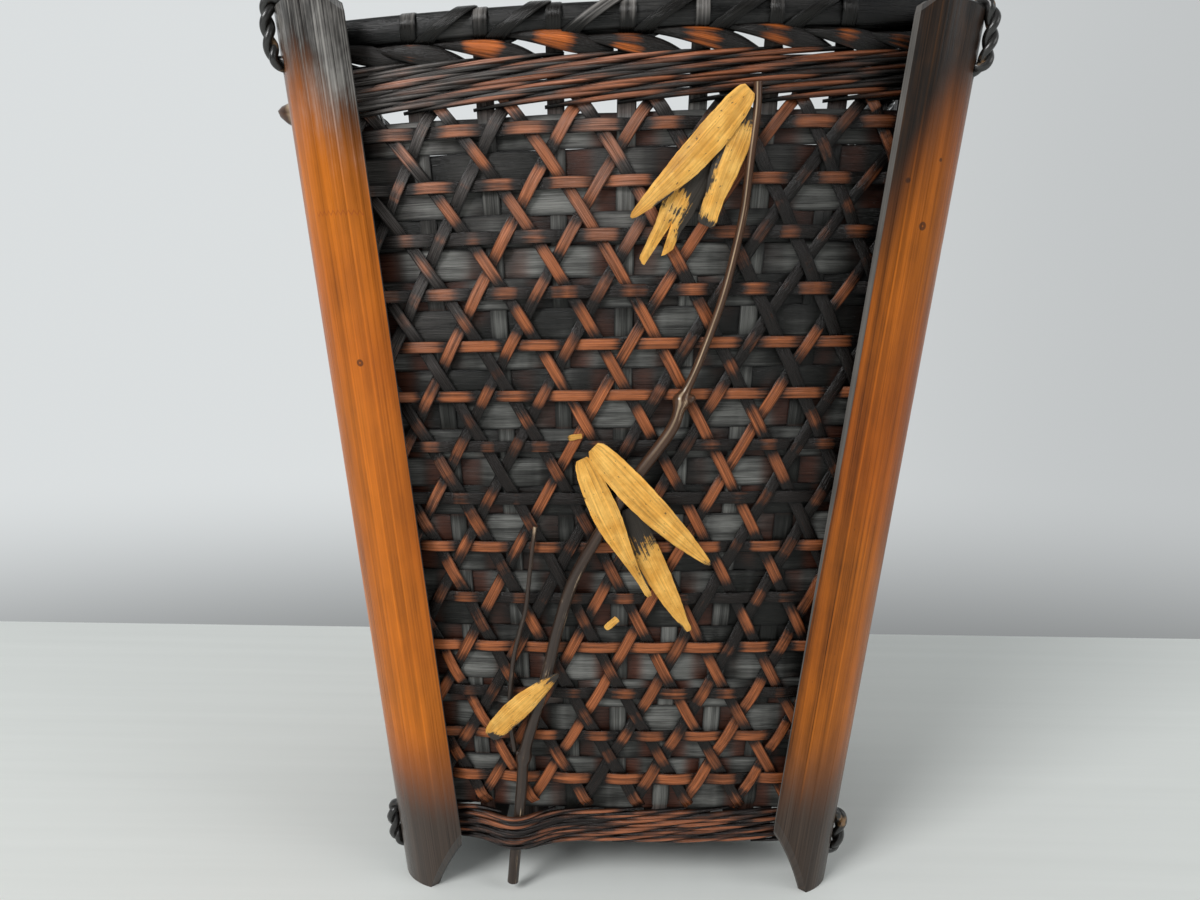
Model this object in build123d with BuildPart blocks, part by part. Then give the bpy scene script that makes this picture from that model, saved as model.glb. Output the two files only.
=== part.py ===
"""Square flower basket of split and woven bamboo on four corner posts, in millimetres.

The front is -Y, up is +Z, and the origin lies on the table under the middle of the basket.
Each woven side is a stack of thin layers: upright stakes, weavers round them, and an open
six-sided lattice of rows, rising strips and falling strips outside.
"""

import math
import os

from build123d import *

os.makedirs("parts", exist_ok=True)

# Body of the basket, measured to the outer face of the lattice
SIDE_REACH = 70.0  # middle of a side from the axis, at table level
SIDE_LEAN = 0.1036  # outward run of a side for each unit of height
FOLD = 35.0  # a side is bowed: it folds in its middle and this far to either hand
INNER_BOW = 0.035  # how fast it falls back from the middle to the fold
OUTER_BOW = 0.115  # and from the fold to the corner
CORNER_CUT = 5.0  # from the sharp corner to the start of the flat across it
CORNER_SPLIT = 0.3  # gap where the pieces of two sides meet at a corner
LAYER_GAP = 0.1  # between neighbouring layers of the weave

# Heights of the bands
BASE_HEIGHT = 17.0  # underside of the woven base above the table
LOWER_TWINING_HEIGHT = 10.8
LINER_DROP = 5.6  # the liner ends this far below the upper twining
UPPER_TWINING_HEIGHT = 11.1
TWIST_HEIGHT = 6.3
RIM_HEIGHT = 7.4
RIM_RISE = 0.6  # top of the rim over the tops of the posts

# Corner posts, split from one culm
POST_HEIGHT = 270.0
POST_RADIUS = 18.0
POST_WALL = 3.0
POST_HALF_ARC = 64.0
POST_GAP_LOW = 2.0  # from the basket's corner to the hollow of the post, at the table
POST_GAP_HIGH = 8.2  # the same at the top
FOOT_HALF_WIDTH = 7.0  # at the table, from the middle of the arc to its left or right side
FOOT_CUT_HEIGHT = 11.0  # of the cut on that side
TOP_CUT_WIDTH = 3.5
TOP_CUT_HEIGHT = 4.2

# Cane ties through the posts
CANE = 4.2
CANE_GAP = 0.25  # round the cane in its hole and off the post
CANE_BEND = 3.0
LOW_TIE_ANGLE = 7.0  # round the post, from the X axis
LOW_TIE_BELOW_BASE = 8.0
LOW_TIE_ABOVE_BASE = 5.0
LOW_TIE_REACH_IN = 8.0  # how far the lower leg runs in under the base
HIGH_TIE_ANGLE = 25.0
HIGH_TIE_DROP = 15.0  # hole below the top of the post

# Stakes and weavers of the liner
STAKE_COUNT = 7
STAKE_WIDTH = 5.2
STAKE_THICK = 0.8
STAKE_PITCH_LOW = 13.8
STAKE_PITCH_HIGH = 20.7
WEAVER_ROWS = 24
WEAVER_GAP = 0.3
WEAVER_THICK = 0.7

# Open six-sided lattice
STRIP_WIDTH = 3.6
STRIP_THICK = 0.5
LATTICE_ROWS = 14
LATTICE_DROP = 7.0  # middle of the top row below the upper twining
LATTICE_RISE = 11.6  # middle of the bottom row above the lower twining
LATTICE_PITCH = 17.2  # between parallel slanted strips, along a row
LATTICE_PHASE = -7.6  # where one rising strip crosses the second row
LATTICE_TUCK = 3.0  # how far the strips run on behind a post

# Twined splints and the rope-like row under the rim
TWINING_STRANDS = 6
TWINING_THICK = 2.1
TWINING_GAP = 0.1
TWIST_THICK = 3.0
TWIST_GAP = 1.0
TWIST_SLANT = -8.0  # the wraps fall to the right

# Rim hoops, with the straps and the slanted lashing over them
HOOP_THICK = 2.6
STRAP_THICK = 0.5
STRAP_WIDTH = 4.3
LASHING_WIDTH = 5.0
LASHING_SLANT = 10.0

# Woven base
BASE_STRIP_WIDTH = 8.0
BASE_STRIP_THICK = 0.8

# Lift-out water tube, cut from a thick culm just under a node
TUBE_RADIUS = 35.0
TUBE_WALL = 5.0
TUBE_HEIGHT = 122.0
TUBE_FLOOR = 8.0
TUBE_RISE = 0.2  # off the base, so that it lifts freely
TUBE_NODE_SWELL = 1.2
TUBE_NODE_WIDTH = 6.0

# Bamboo twig on the front: x of the points it passes, and how far up from the lower band to the upper
STEM_DIAMETER = 3.2
STEM_OUT = 0.7  # clear of the lattice
STEM_BEND = 60.0
STEM_FOOT_PLACE = -33.6
STEM_FOOT_HEIGHT = 3.0  # above the table
STEM_POINTS = [
    (-31.4, -0.003),
    (-29.7, 0.090),
    (-22.3, 0.219),
    (-14.0, 0.360),
    (-6.5, 0.428),
    (14.4, 0.572),
    (22.3, 0.667),
    (31.8, 0.817),
    (36.0, 1.016),
]
SIDE_TWIG_DIAMETER = 1.5
SIDE_TWIG_BEND = 40.0
SIDE_TWIG_POINTS = [(-32.6, 0.097), (-34.1, 0.171), (-33.0, 0.234), (-28.8, 0.317), (-25.9, 0.434)]
STEM_COVER = 1.2  # splint that passes over the foot of the twig

# Leaves: root, as for the twig, then the tip's run and drop from it, the width and the height off the lattice
LEAF_THICK = 0.4
LEAF_BELLY = 0.45  # widest point along the leaf
LEAVES = {
    "leaf_top_long": ((33.4, 1.016), -31.8, 36.5, 8.6, 2.8),
    "leaf_top_right": ((33.6, 0.997), -11.8, 33.3, 6.6, 1.7),
    "leaf_top_under": ((23.5, 0.947), -16.3, 33.1, 7.6, 0.3),
    "leaf_middle_right": ((-8.5, 0.545), 35.0, 34.5, 9.0, 4.3),
    "leaf_middle_left": ((-11.4, 0.533), 20.6, 42.1, 8.2, 4.3),
    "leaf_middle_under": ((1.6, 0.463), 19.8, 38.5, 7.8, 0.9),
    "leaf_low": ((-19.1, 0.220), -21.3, 21.2, 6.4, 4.4),
}

# Blunt peg at the left side, just behind the front post
PEG_DIAMETER = 8.8
PEG_LENGTH = 16.5
PEG_ROUND = 3.6
PEG_DROP = 23.0  # below the top of the post
PEG_CLEAR = 0.3  # off the edge of the post

# Feet towards the front or back: half width at the table and height of the cut
FACE_CUTS = {
    "front_left": (7.0, 20.0),
    "front_right": (5.0, 27.0),
    "back_right": (7.0, 20.0),
    "back_left": (7.0, 20.0),
}

SIDE_NAMES = ("front", "right", "back", "left")
CORNERS = {
    "front_left": (-1, -1),
    "front_right": (1, -1),
    "back_right": (1, 1),
    "back_left": (-1, 1),
}

# Each layer starts where the one outside it ends
rising_inset = 0.0
row_inset = rising_inset + STRIP_THICK + LAYER_GAP
falling_inset = row_inset + STRIP_THICK + LAYER_GAP
weaver_inset = falling_inset + STRIP_THICK + 2 * LAYER_GAP
stake_inset = weaver_inset + WEAVER_THICK + LAYER_GAP
stake_back = stake_inset + STAKE_THICK
band_back = stake_inset - LAYER_GAP
hoop_outer = band_back - HOOP_THICK
hoop_inner = stake_back + LAYER_GAP
hoop_back = hoop_inner + HOOP_THICK

# The lower bands stand on the base, and the upper ones hang from the rim
base_top = BASE_HEIGHT + 2 * BASE_STRIP_THICK + LAYER_GAP
lower_twining_top = BASE_HEIGHT + LOWER_TWINING_HEIGHT
liner_low = lower_twining_top + WEAVER_GAP
rim_top = POST_HEIGHT + RIM_RISE
rim_low = rim_top - RIM_HEIGHT
twist_low = rim_low - LAYER_GAP - TWIST_HEIGHT
upper_twining_low = twist_low - LAYER_GAP - UPPER_TWINING_HEIGHT
liner_top = upper_twining_low - LINER_DROP
stake_low = base_top + LAYER_GAP
slanted_low = liner_low + LAYER_GAP
slanted_top = upper_twining_low - LAYER_GAP
lattice_top = upper_twining_low - LATTICE_DROP
row_pitch = (lattice_top - lower_twining_top - LATTICE_RISE) / (LATTICE_ROWS - 1)
peg_height = POST_HEIGHT - PEG_DROP
far = 3 * (SIDE_REACH + SIDE_LEAN * POST_HEIGHT)
turns = {side: i * 360 / len(SIDE_NAMES) for i, side in enumerate(SIDE_NAMES)}


def side_middle(height):
    """Distance from the axis to the middle of a side."""
    return SIDE_REACH + SIDE_LEAN * height


def bow(x):
    """How far a side falls back from its middle at a distance along it."""
    return INNER_BOW * min(abs(x), FOLD) + OUTER_BOW * max(abs(x) - FOLD, 0.0)


def corner_ends(height, inset):
    """End of the front side at a corner, and the middle of the flat across the corner."""
    middle = side_middle(height) - inset
    sharp = (middle - INNER_BOW * FOLD + OUTER_BOW * FOLD) / (1 + OUTER_BOW)
    end = sharp - CORNER_CUT
    return end, (end + middle - bow(end)) / 2


def post_centre(height):
    """Half the square on which the axes of the four posts stand."""
    low, high = (
        corner_ends(level, 0.0)[1] - (POST_RADIUS - POST_WALL - gap) / math.sqrt(2)
        for level, gap in ((0.0, POST_GAP_LOW), (POST_HEIGHT, POST_GAP_HIGH))
    )
    return low + (high - low) * height / POST_HEIGHT


def stake_pitch(height):
    """Distance between stakes, which fan out from the base to the rim."""
    share = (height - base_top) / (rim_top - base_top)
    return STAKE_PITCH_LOW + (STAKE_PITCH_HIGH - STAKE_PITCH_LOW) * share


def front_height(share):
    """Height a share of the way from the lower band to the upper."""
    return lower_twining_top + share * (upper_twining_low - lower_twining_top)


def front_point(x, height, out):
    """Point in front of the front side, the given distance off the lattice."""
    return Vector(x, bow(x) - side_middle(height) - out, height)


def side_profile(height, inset):
    """Plan of the front side from the mitre of the left corner to that of the right."""
    end, flat = corner_ends(height, inset)
    mitre = flat - CORNER_SPLIT / 2
    points = [(-mitre, -mitre - CORNER_SPLIT)]
    for x in (-end, -FOLD, 0.0, FOLD, end):
        points.append((x, front_point(x, height, -inset).Y))
    points.append((mitre, -mitre - CORNER_SPLIT))
    return points


def side_band(low, high, outer, inner):
    """One layer of the front side between two heights, mitred at both corners, all of flat faces."""
    rings = []
    for height in (low, high):
        plan = side_profile(height, outer) + side_profile(height, inner)[::-1]
        rings.append([(x, y, height) for x, y in plan])
    faces = [Face(Wire.make_polygon(ring)) for ring in rings]
    for i in range(len(rings[0])):
        faces.append(Face(Wire.make_polygon([rings[0][i - 1], rings[0][i], rings[1][i], rings[1][i - 1]])))
    return Solid(Shell(faces))


def stacked_bands(low, height, count, gap, outer, inner):
    """Equal bands one above the other, parted by a gap."""
    pitch = height / count
    return [side_band(low + i * pitch, low + (i + 1) * pitch - gap, outer, inner) for i in range(count)]


def strips(low, high, outer, inner, feet, heads, width, edges=None):
    """Strips of the front side between two heights, from each foot to its head along x."""
    layer = side_band(low, high, outer, inner)
    with BuildPart() as pieces:
        add(layer)
        with BuildSketch(Plane.XZ):
            for foot, head in zip(feet, heads):
                with BuildLine():
                    Polyline(
                        (foot - width / 2, low),
                        (foot + width / 2, low),
                        (head + width / 2, high),
                        (head - width / 2, high),
                        close=True,
                    )
                make_face()
            if edges:
                with BuildLine():
                    Polyline((-edges[0], low), (edges[0], low), (edges[1], high), (-edges[1], high), close=True)
                make_face(mode=Mode.INTERSECT)
        extrude(amount=far, mode=Mode.INTERSECT)
    return pieces.part.solids()


def lattice_strips(inset, direction):
    """Slanted lattice strips of the front side: direction 1 rises to the right, -1 falls."""
    run = direction * LATTICE_PITCH / 2 / row_pitch
    width = STRIP_WIDTH / math.cos(math.atan(run))
    second_row = lattice_top - row_pitch
    phase = LATTICE_PHASE + (LATTICE_PITCH / 2 if direction < 0 else 0.0)
    edges = [post_centre(height) + LATTICE_TUCK for height in (slanted_low, slanted_top)]
    rise = slanted_top - slanted_low
    half_count = math.ceil((edges[1] + abs(run) * rise) / LATTICE_PITCH)
    first_foot = phase - run * (second_row - slanted_low)
    feet = [first_foot + i * LATTICE_PITCH for i in range(-half_count, half_count + 1)]
    heads = [foot + run * rise for foot in feet]
    return strips(slanted_low, slanted_top, inset, inset + STRIP_THICK, feet, heads, width, edges)


def write_node(name, pieces, angles):
    """One node from pieces of the front side, repeated at each angle about the axis."""
    with BuildPart() as node:
        add([piece.rotate(Axis.Z, angle) for angle in angles for piece in pieces], clean=False)
    node.part.label = name
    export_step(node.part, f"parts/{name}.step")


# Liner: stakes that fan out, and weavers one above the other
places = [i - (STAKE_COUNT - 1) / 2 for i in range(STAKE_COUNT)]
stake_feet, stake_heads = ([place * stake_pitch(height) for place in places] for height in (stake_low, rim_top))
front_stakes = strips(stake_low, rim_top, stake_inset, stake_back, stake_feet, stake_heads, STAKE_WIDTH)
front_weavers = stacked_bands(
    liner_low, liner_top - liner_low, WEAVER_ROWS, WEAVER_GAP, weaver_inset, weaver_inset + WEAVER_THICK
)

# Lattice: rows, with the rising strips outside them and the falling strips inside
front_rows = []
for i in range(LATTICE_ROWS):
    row_low = lattice_top - i * row_pitch - STRIP_WIDTH / 2
    front_rows.append(side_band(row_low, row_low + STRIP_WIDTH, row_inset, row_inset + STRIP_THICK))
front_rising = lattice_strips(rising_inset, 1)
front_falling = lattice_strips(falling_inset, -1)

for side, turn in turns.items():
    write_node(f"liner_stakes_{side}", front_stakes, [turn])
    write_node(f"liner_weavers_{side}", front_weavers, [turn])
    write_node(f"lattice_rows_{side}", front_rows, [turn])
    write_node(f"lattice_rising_{side}", front_rising, [turn])
    write_node(f"lattice_falling_{side}", front_falling, [turn])

# Twined bands, the lower one with a bulge on the front where it passes over the twig
band_front = band_back - TWINING_THICK
upper_strands = stacked_bands(
    upper_twining_low, UPPER_TWINING_HEIGHT, TWINING_STRANDS, TWINING_GAP, band_front, band_back
)
lower_strands = stacked_bands(
    BASE_HEIGHT, LOWER_TWINING_HEIGHT, TWINING_STRANDS, TWINING_GAP, band_front, band_back
)
write_node("upper_twining", upper_strands, turns.values())

stem_centre_out = STEM_DIAMETER / 2 + STEM_OUT
stem_points = [(x, front_height(share)) for x, share in STEM_POINTS]
stem_foot = front_point(STEM_FOOT_PLACE, STEM_FOOT_HEIGHT, stem_centre_out)
stem_second = front_point(*stem_points[0], stem_centre_out)
stem_channel = STEM_DIAMETER / 2 + CANE_GAP
strand_pitch = LOWER_TWINING_HEIGHT / TWINING_STRANDS
with BuildPart() as cover_slices:
    with BuildSketch(Plane(stem_foot, z_dir=stem_second - stem_foot)):
        Circle(stem_channel + STEM_COVER)
    extrude(amount=(stem_second - stem_foot).length * 2)
    with BuildSketch(Plane.XZ):
        for i in range(TWINING_STRANDS):
            strand_middle = BASE_HEIGHT + (i + 0.5) * strand_pitch - TWINING_GAP / 2
            with Locations((stem_foot.X, strand_middle)):
                Rectangle(far, strand_pitch - TWINING_GAP)
    extrude(amount=far, mode=Mode.INTERSECT)
with BuildPart() as front_lower_strands:
    add(lower_strands, clean=False)
    add(cover_slices.part)
    with BuildSketch(Plane(stem_foot, z_dir=stem_second - stem_foot)):
        Circle(stem_channel)
    extrude(amount=(stem_second - stem_foot).length * 2, mode=Mode.SUBTRACT)
with BuildPart() as lower_twining:
    add(front_lower_strands.part, clean=False)
    for turn in list(turns.values())[1:]:
        add(lower_strands, rotation=(0, 0, turn), clean=False)
lower_twining.part.label = "lower_twining"
export_step(lower_twining.part, "parts/lower_twining.step")

# Rope-like row: slanted wraps, one to each stake
twist_top = twist_low + TWIST_HEIGHT
rim_pitch = stake_pitch(rim_low)
rim_places = [place * rim_pitch for place in places]
wrap_feet = [place - TWIST_SLANT / 2 for place in rim_places]
wrap_heads = [place + TWIST_SLANT / 2 for place in rim_places]
wrap_outer = band_back - TWIST_THICK
wraps = strips(twist_low, twist_top, wrap_outer, band_back, wrap_feet, wrap_heads, rim_pitch - TWIST_GAP)
write_node("twist_row", wraps, turns.values())

# Rim: two hoops with the stakes between them, straps over both, then the slanted lashing
write_node("rim_outer_hoop", [side_band(rim_low, rim_top, hoop_outer, band_back)], turns.values())
write_node("rim_inner_hoop", [side_band(rim_low, rim_top, hoop_inner, hoop_back)], turns.values())


def rim_strap(x, slant, width, layer):
    """Strap up the outer hoop, over the rim and down inside, the given layer off the hoops."""
    near = LAYER_GAP + layer * (STRAP_THICK + LAYER_GAP)
    off = near + STRAP_THICK
    low_x = x - slant / 2
    high_x = x + slant / 2
    bends = [
        (low_x, hoop_outer - off, rim_low, hoop_outer - near, rim_low),
        (high_x, hoop_outer - off, rim_top + off, hoop_outer - near, rim_top + near),
        (high_x, hoop_back + off, rim_top + off, hoop_back + near, rim_top + near),
        (low_x, hoop_back + off, rim_low, hoop_back + near, rim_low),
    ]
    cuts = []
    for middle, far_inset, far_height, near_inset, near_height in bends:
        left = middle - width / 2
        right = middle + width / 2
        with BuildLine() as cut:
            Polyline(
                front_point(left, far_height, -far_inset),
                front_point(right, far_height, -far_inset),
                front_point(right, near_height, -near_inset),
                front_point(left, near_height, -near_inset),
                close=True,
            )
        cuts.append(make_face(cut.edges()))
    with BuildPart() as strap:
        loft(cuts, ruled=True)
    return strap.part


straps = [rim_strap(place, 0.0, STRAP_WIDTH, 0) for place in rim_places]
lashing = [rim_strap(place + rim_pitch / 2, LASHING_SLANT, LASHING_WIDTH, 1) for place in rim_places[:-1]]
write_node("rim_straps", straps, turns.values())
write_node("rim_lashing", lashing, turns.values())

# Woven base: the strips that lie under the stakes, in two crossing layers
for name, level, turn in (
    ("base_strips_across", BASE_HEIGHT, 0.0),
    ("base_strips_along", BASE_HEIGHT + BASE_STRIP_THICK + LAYER_GAP, 90.0),
):
    lengths = []
    for place in places:
        outer_edge = abs(place) * STAKE_PITCH_LOW + BASE_STRIP_WIDTH / 2
        lengths.append((place * STAKE_PITCH_LOW, -2 * front_point(outer_edge, level, -stake_inset).Y))
    with BuildPart() as base_strips:
        with BuildSketch(Plane.XY.offset(level)):
            for place, length in lengths:
                with Locations((place, 0)):
                    Rectangle(BASE_STRIP_WIDTH, length)
        extrude(amount=BASE_STRIP_THICK)
    write_node(name, base_strips.part.solids(), [turn])


def post_point(signs, angle, distance, height):
    """Point at a distance from a post's axis, turned by the angle from the X axis."""
    centre = post_centre(height)
    turn = math.radians(angle)
    x = signs[0] * (centre + distance * math.cos(turn))
    y = signs[1] * (centre + distance * math.sin(turn))
    return Vector(x, y, height)


def body_reach(angle, height):
    """Distance from a post's axis to the outside of the basket, in the direction of the angle."""
    along = math.cos(math.radians(angle))
    across = math.sin(math.radians(angle))
    centre = post_centre(height)
    to_flat = 2 * (corner_ends(height, 0.0)[1] - centre) / (along + across)
    to_side = (side_middle(height) - bow(centre) - centre) / (along + OUTER_BOW * across)
    return min(to_flat, to_side)


tie_offset = POST_RADIUS + CANE / 2 + CANE_GAP
tie_holes = (
    (LOW_TIE_ANGLE, BASE_HEIGHT - LOW_TIE_BELOW_BASE),
    (LOW_TIE_ANGLE, BASE_HEIGHT + LOW_TIE_ABOVE_BASE),
    (HIGH_TIE_ANGLE, POST_HEIGHT - HIGH_TIE_DROP),
)
over_post = POST_HEIGHT + CANE / 2 + CANE_GAP
post_inner = POST_RADIUS - POST_WALL
edge_half = POST_RADIUS * math.sin(math.radians(POST_HALF_ARC))

for corner, signs in CORNERS.items():
    outward = Vector(signs[0], signs[1], 0)
    diagonal = math.degrees(math.atan2(signs[1], signs[0]))
    sector = 2 * POST_RADIUS / math.cos(math.radians(POST_HALF_ARC))
    sector_ends = []
    for bearing in (diagonal - POST_HALF_ARC, diagonal + POST_HALF_ARC):
        sector_ends.append((sector * math.cos(math.radians(bearing)), sector * math.sin(math.radians(bearing))))

    # Post: an arc of culm, narrowed to a foot below and bevelled above
    with BuildPart() as post:
        for level in (0.0, POST_HEIGHT):
            with BuildSketch(Plane(post_point(signs, 0.0, 0.0, level))):
                Circle(POST_RADIUS)
                Circle(post_inner, mode=Mode.SUBTRACT)
                with BuildLine():
                    Polyline((0, 0), *sector_ends, close=True)
                make_face(mode=Mode.INTERSECT)
        loft(ruled=True)
        with BuildSketch(Plane((0, 0, 0), x_dir=(-signs[1], signs[0], 0), z_dir=outward)):
            face_hand = signs[0] * signs[1]
            for hand, (half_width, cut_height) in (
                (face_hand, FACE_CUTS[corner]),
                (-face_hand, (FOOT_HALF_WIDTH, FOOT_CUT_HEIGHT)),
            ):
                with BuildLine():
                    Polyline(
                        (hand * half_width, 0),
                        (hand * edge_half, cut_height),
                        (hand * far, cut_height),
                        (hand * far, 0),
                        close=True,
                    )
                make_face()
                with BuildLine():
                    Polyline(
                        (hand * (edge_half - TOP_CUT_WIDTH), POST_HEIGHT),
                        (hand * edge_half, POST_HEIGHT - TOP_CUT_HEIGHT),
                        (hand * far, POST_HEIGHT - TOP_CUT_HEIGHT),
                        (hand * far, POST_HEIGHT),
                        close=True,
                    )
                make_face()
        extrude(amount=far, mode=Mode.SUBTRACT)
        for angle, level in tie_holes:
            drill_from = post_point(signs, angle, 2 * POST_RADIUS, level)
            drill_way = drill_from - post_point(signs, angle, 0.0, level)
            with Locations(Plane(drill_from, z_dir=drill_way)):
                Hole(CANE / 2 + CANE_GAP, depth=2 * POST_RADIUS)
    post.part.label = f"post_{corner}"
    export_step(post.part, f"parts/post_{corner}.step")

    # Ties: each a bent cane through its holes, ending against the basket
    low_angle = LOW_TIE_ANGLE
    below, above = (level for angle, level in tie_holes if angle == low_angle)
    low_route = [
        post_point(signs, low_angle, body_reach(low_angle, above) + CANE_GAP, above),
        post_point(signs, low_angle, tie_offset, above),
        post_point(signs, low_angle, tie_offset, below),
        post_point(signs, low_angle, LOW_TIE_REACH_IN, below),
    ]
    hole_level = POST_HEIGHT - HIGH_TIE_DROP
    high_route = [
        post_point(signs, HIGH_TIE_ANGLE, body_reach(HIGH_TIE_ANGLE, hole_level) + CANE_GAP, hole_level),
        post_point(signs, HIGH_TIE_ANGLE, tie_offset, hole_level),
        post_point(signs, HIGH_TIE_ANGLE, tie_offset, over_post),
        post_point(signs, HIGH_TIE_ANGLE, body_reach(HIGH_TIE_ANGLE, over_post) + CANE_GAP, over_post),
    ]
    for name, route in ((f"bottom_tie_{corner}", low_route), (f"top_tie_{corner}", high_route)):
        with BuildPart() as tie:
            with BuildLine() as path:
                FilletPolyline(*route, radius=CANE_BEND)
            with BuildSketch(Plane(path.line @ 0, z_dir=path.line % 0)):
                Circle(CANE / 2)
            sweep()
        tie.part.label = name
        export_step(tie.part, f"parts/{name}.step")

# Twig and side twig, laid over the lattice of the front
side_twig_out = SIDE_TWIG_DIAMETER / 2 + STEM_OUT
stem_line = [stem_foot, *[front_point(x, height, stem_centre_out) for x, height in stem_points]]
side_twig_line = [front_point(x, front_height(share), side_twig_out) for x, share in SIDE_TWIG_POINTS]
for name, points, diameter, bend in (
    ("branch_stem", stem_line, STEM_DIAMETER, STEM_BEND),
    ("branch_side_twig", side_twig_line, SIDE_TWIG_DIAMETER, SIDE_TWIG_BEND),
):
    with BuildPart() as twig:
        with BuildLine() as path:
            FilletPolyline(*points, radius=bend)
        with BuildSketch(Plane(path.line @ 0, z_dir=path.line % 0)):
            Circle(diameter / 2)
        sweep()
    twig.part.label = name
    export_step(twig.part, f"parts/{name}.step")

# Leaves: thin blades, wider in the middle, lying along the front
for name, ((root_x, root_share), run, drop, width, out) in LEAVES.items():
    root_height = front_height(root_share)
    start = front_point(root_x, root_height, out)
    along = front_point(root_x + run, root_height - drop, out) - start
    length = along.length
    rise = bow(root_x + run) - bow(root_x)
    facing = Vector(rise / run, -1, -SIDE_LEAN)
    facing = facing - along * (facing.dot(along) / length**2)
    with BuildPart() as leaf:
        with BuildSketch(Plane(start, x_dir=along, z_dir=facing)):
            with BuildLine():
                ThreePointArc((0, 0), (length * LEAF_BELLY, width / 2), (length, 0))
                ThreePointArc((length, 0), (length * LEAF_BELLY, -width / 2), (0, 0))
            make_face()
        extrude(amount=LEAF_THICK)
    leaf.part.label = name
    export_step(leaf.part, f"parts/{name}.step")

# Peg: blunt and rounded, held against the left side next to the edge of the post
edge_back = POST_RADIUS * math.sin(math.radians(POST_HALF_ARC - 45.0))
peg_place = PEG_CLEAR + PEG_DIAMETER / 2 + edge_back - post_centre(peg_height - PEG_DIAMETER / 2)
peg_root = bow(peg_place) - side_middle(peg_height) - CANE_GAP
with BuildPart() as side_peg:
    with BuildSketch(Plane((peg_root, peg_place, peg_height), z_dir=(-1, 0, 0))):
        Circle(PEG_DIAMETER / 2)
    extrude(amount=PEG_LENGTH)
    fillet(side_peg.edges().sort_by(Axis.X)[0], PEG_ROUND)
side_peg.part.label = "side_peg"
export_step(side_peg.part, "parts/side_peg.step")

# Water tube: a length of culm closed by its own node at the bottom
tube_low = base_top + TUBE_RISE
with BuildPart() as water_tube:
    with BuildSketch(Plane.XZ):
        with BuildLine():
            Polyline(
                (0, tube_low),
                (TUBE_RADIUS, tube_low),
                (TUBE_RADIUS, tube_low + TUBE_FLOOR),
                (TUBE_RADIUS + TUBE_NODE_SWELL, tube_low + TUBE_FLOOR + TUBE_NODE_WIDTH / 2),
                (TUBE_RADIUS, tube_low + TUBE_FLOOR + TUBE_NODE_WIDTH),
                (TUBE_RADIUS, tube_low + TUBE_HEIGHT),
                (TUBE_RADIUS - TUBE_WALL, tube_low + TUBE_HEIGHT),
                (TUBE_RADIUS - TUBE_WALL, tube_low + TUBE_FLOOR),
                (0, tube_low + TUBE_FLOOR),
                close=True,
            )
        make_face()
    revolve(axis=Axis.Z)
water_tube.part.label = "water_tube"
export_step(water_tube.part, "parts/water_tube.step")
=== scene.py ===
"""Square flower basket of smoked bamboo: woven sides on four split corner posts, a twig and leaves.

Sizes are in millimetres, and become metres where a mesh is made. The front is -Y and up is +Z.
"""

import math
import random

import bmesh
import bpy
from mathutils import Matrix, Vector


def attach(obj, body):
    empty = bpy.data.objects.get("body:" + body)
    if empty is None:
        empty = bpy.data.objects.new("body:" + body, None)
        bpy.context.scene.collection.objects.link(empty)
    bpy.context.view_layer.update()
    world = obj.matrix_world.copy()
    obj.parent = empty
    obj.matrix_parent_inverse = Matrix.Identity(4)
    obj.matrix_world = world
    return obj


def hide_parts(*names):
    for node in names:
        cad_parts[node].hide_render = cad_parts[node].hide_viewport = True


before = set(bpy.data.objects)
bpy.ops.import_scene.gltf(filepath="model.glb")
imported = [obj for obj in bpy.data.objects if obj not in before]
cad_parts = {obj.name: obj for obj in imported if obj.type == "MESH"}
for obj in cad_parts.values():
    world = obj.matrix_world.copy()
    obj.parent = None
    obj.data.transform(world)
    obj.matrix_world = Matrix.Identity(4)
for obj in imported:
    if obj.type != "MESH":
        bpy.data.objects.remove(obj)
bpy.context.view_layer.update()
MM = 0.001

# Body of the basket: reach of a side at the table, its outward slope and its bow
SIDE_REACH = 70.0
SIDE_LEAN = 0.1036
BOW = 0.001

# A side is flat as far as its reach over a divisor, less a margin; then come the cut corner and the next side
FLAT_DIVISOR, FLAT_MARGIN = 1.115, 2.5
CORNER_FLAT = 8.0
CORNER_SLOPE = 0.7071
NEXT_SIDE_RUN, NEXT_SIDE_BACK = 0.16, 0.987

# The weave rises towards +X, more so the further it is above a height
LEAN, LEAN_FROM = 0.00018, 30.0

# Corner posts
POST_HEIGHT = 270.0
POST_LOW, POST_HIGH = 53.9, 83.4
POST_SLOPE = (POST_HIGH - POST_LOW) / POST_HEIGHT
POST_DEGREE = 0.314  # length of a degree along the face of a post

# Heights
BASE_TOP = 18.7
BASE_LAYERS_MEET = 17.85
TUBE_KNOT = 29.9
LOWER_TWINING_LOW = 17.0
LINER_LOW, LINER_TOP = 28.1, 241.6
UPPER_TWINING_LOW = 245.3
TWIST_ROW_LOW = 256.8
RIM_LOW, RIM_TOP = 263.2, 270.6
RIM_MIDDLE = (RIM_LOW + RIM_TOP) / 2

# Layers, as distances outward from the lattice's outer face
LATTICE_OUT = -0.85
LINER_OUT = -2.7

# Lattice: rows between which the slanted strips run, the row that sags most, and where the pitch widens
LATTICE_ENDS = (-0.72, 13.72)
LATTICE_DROP = 0.3
GUESS_ROW, GUESSES = 7.0, 3  # where the search for a slanted strip's ends starts, and its rounds
SAG_ROW, SAG_SHARPNESS, SAG = 10.8, -0.30, 2.2
SPREAD_FROM, SPREAD_OVER = 50.0, 173.0
POST_COVER = 3.0  # how far a strip goes in behind a post
TUCK_HIGH, TUCK_HIGH_IN = (241.0, 246.5), 2.4
TUCK_LOW, TUCK_LOW_IN = (32.5, 29.0), 2.0

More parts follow.
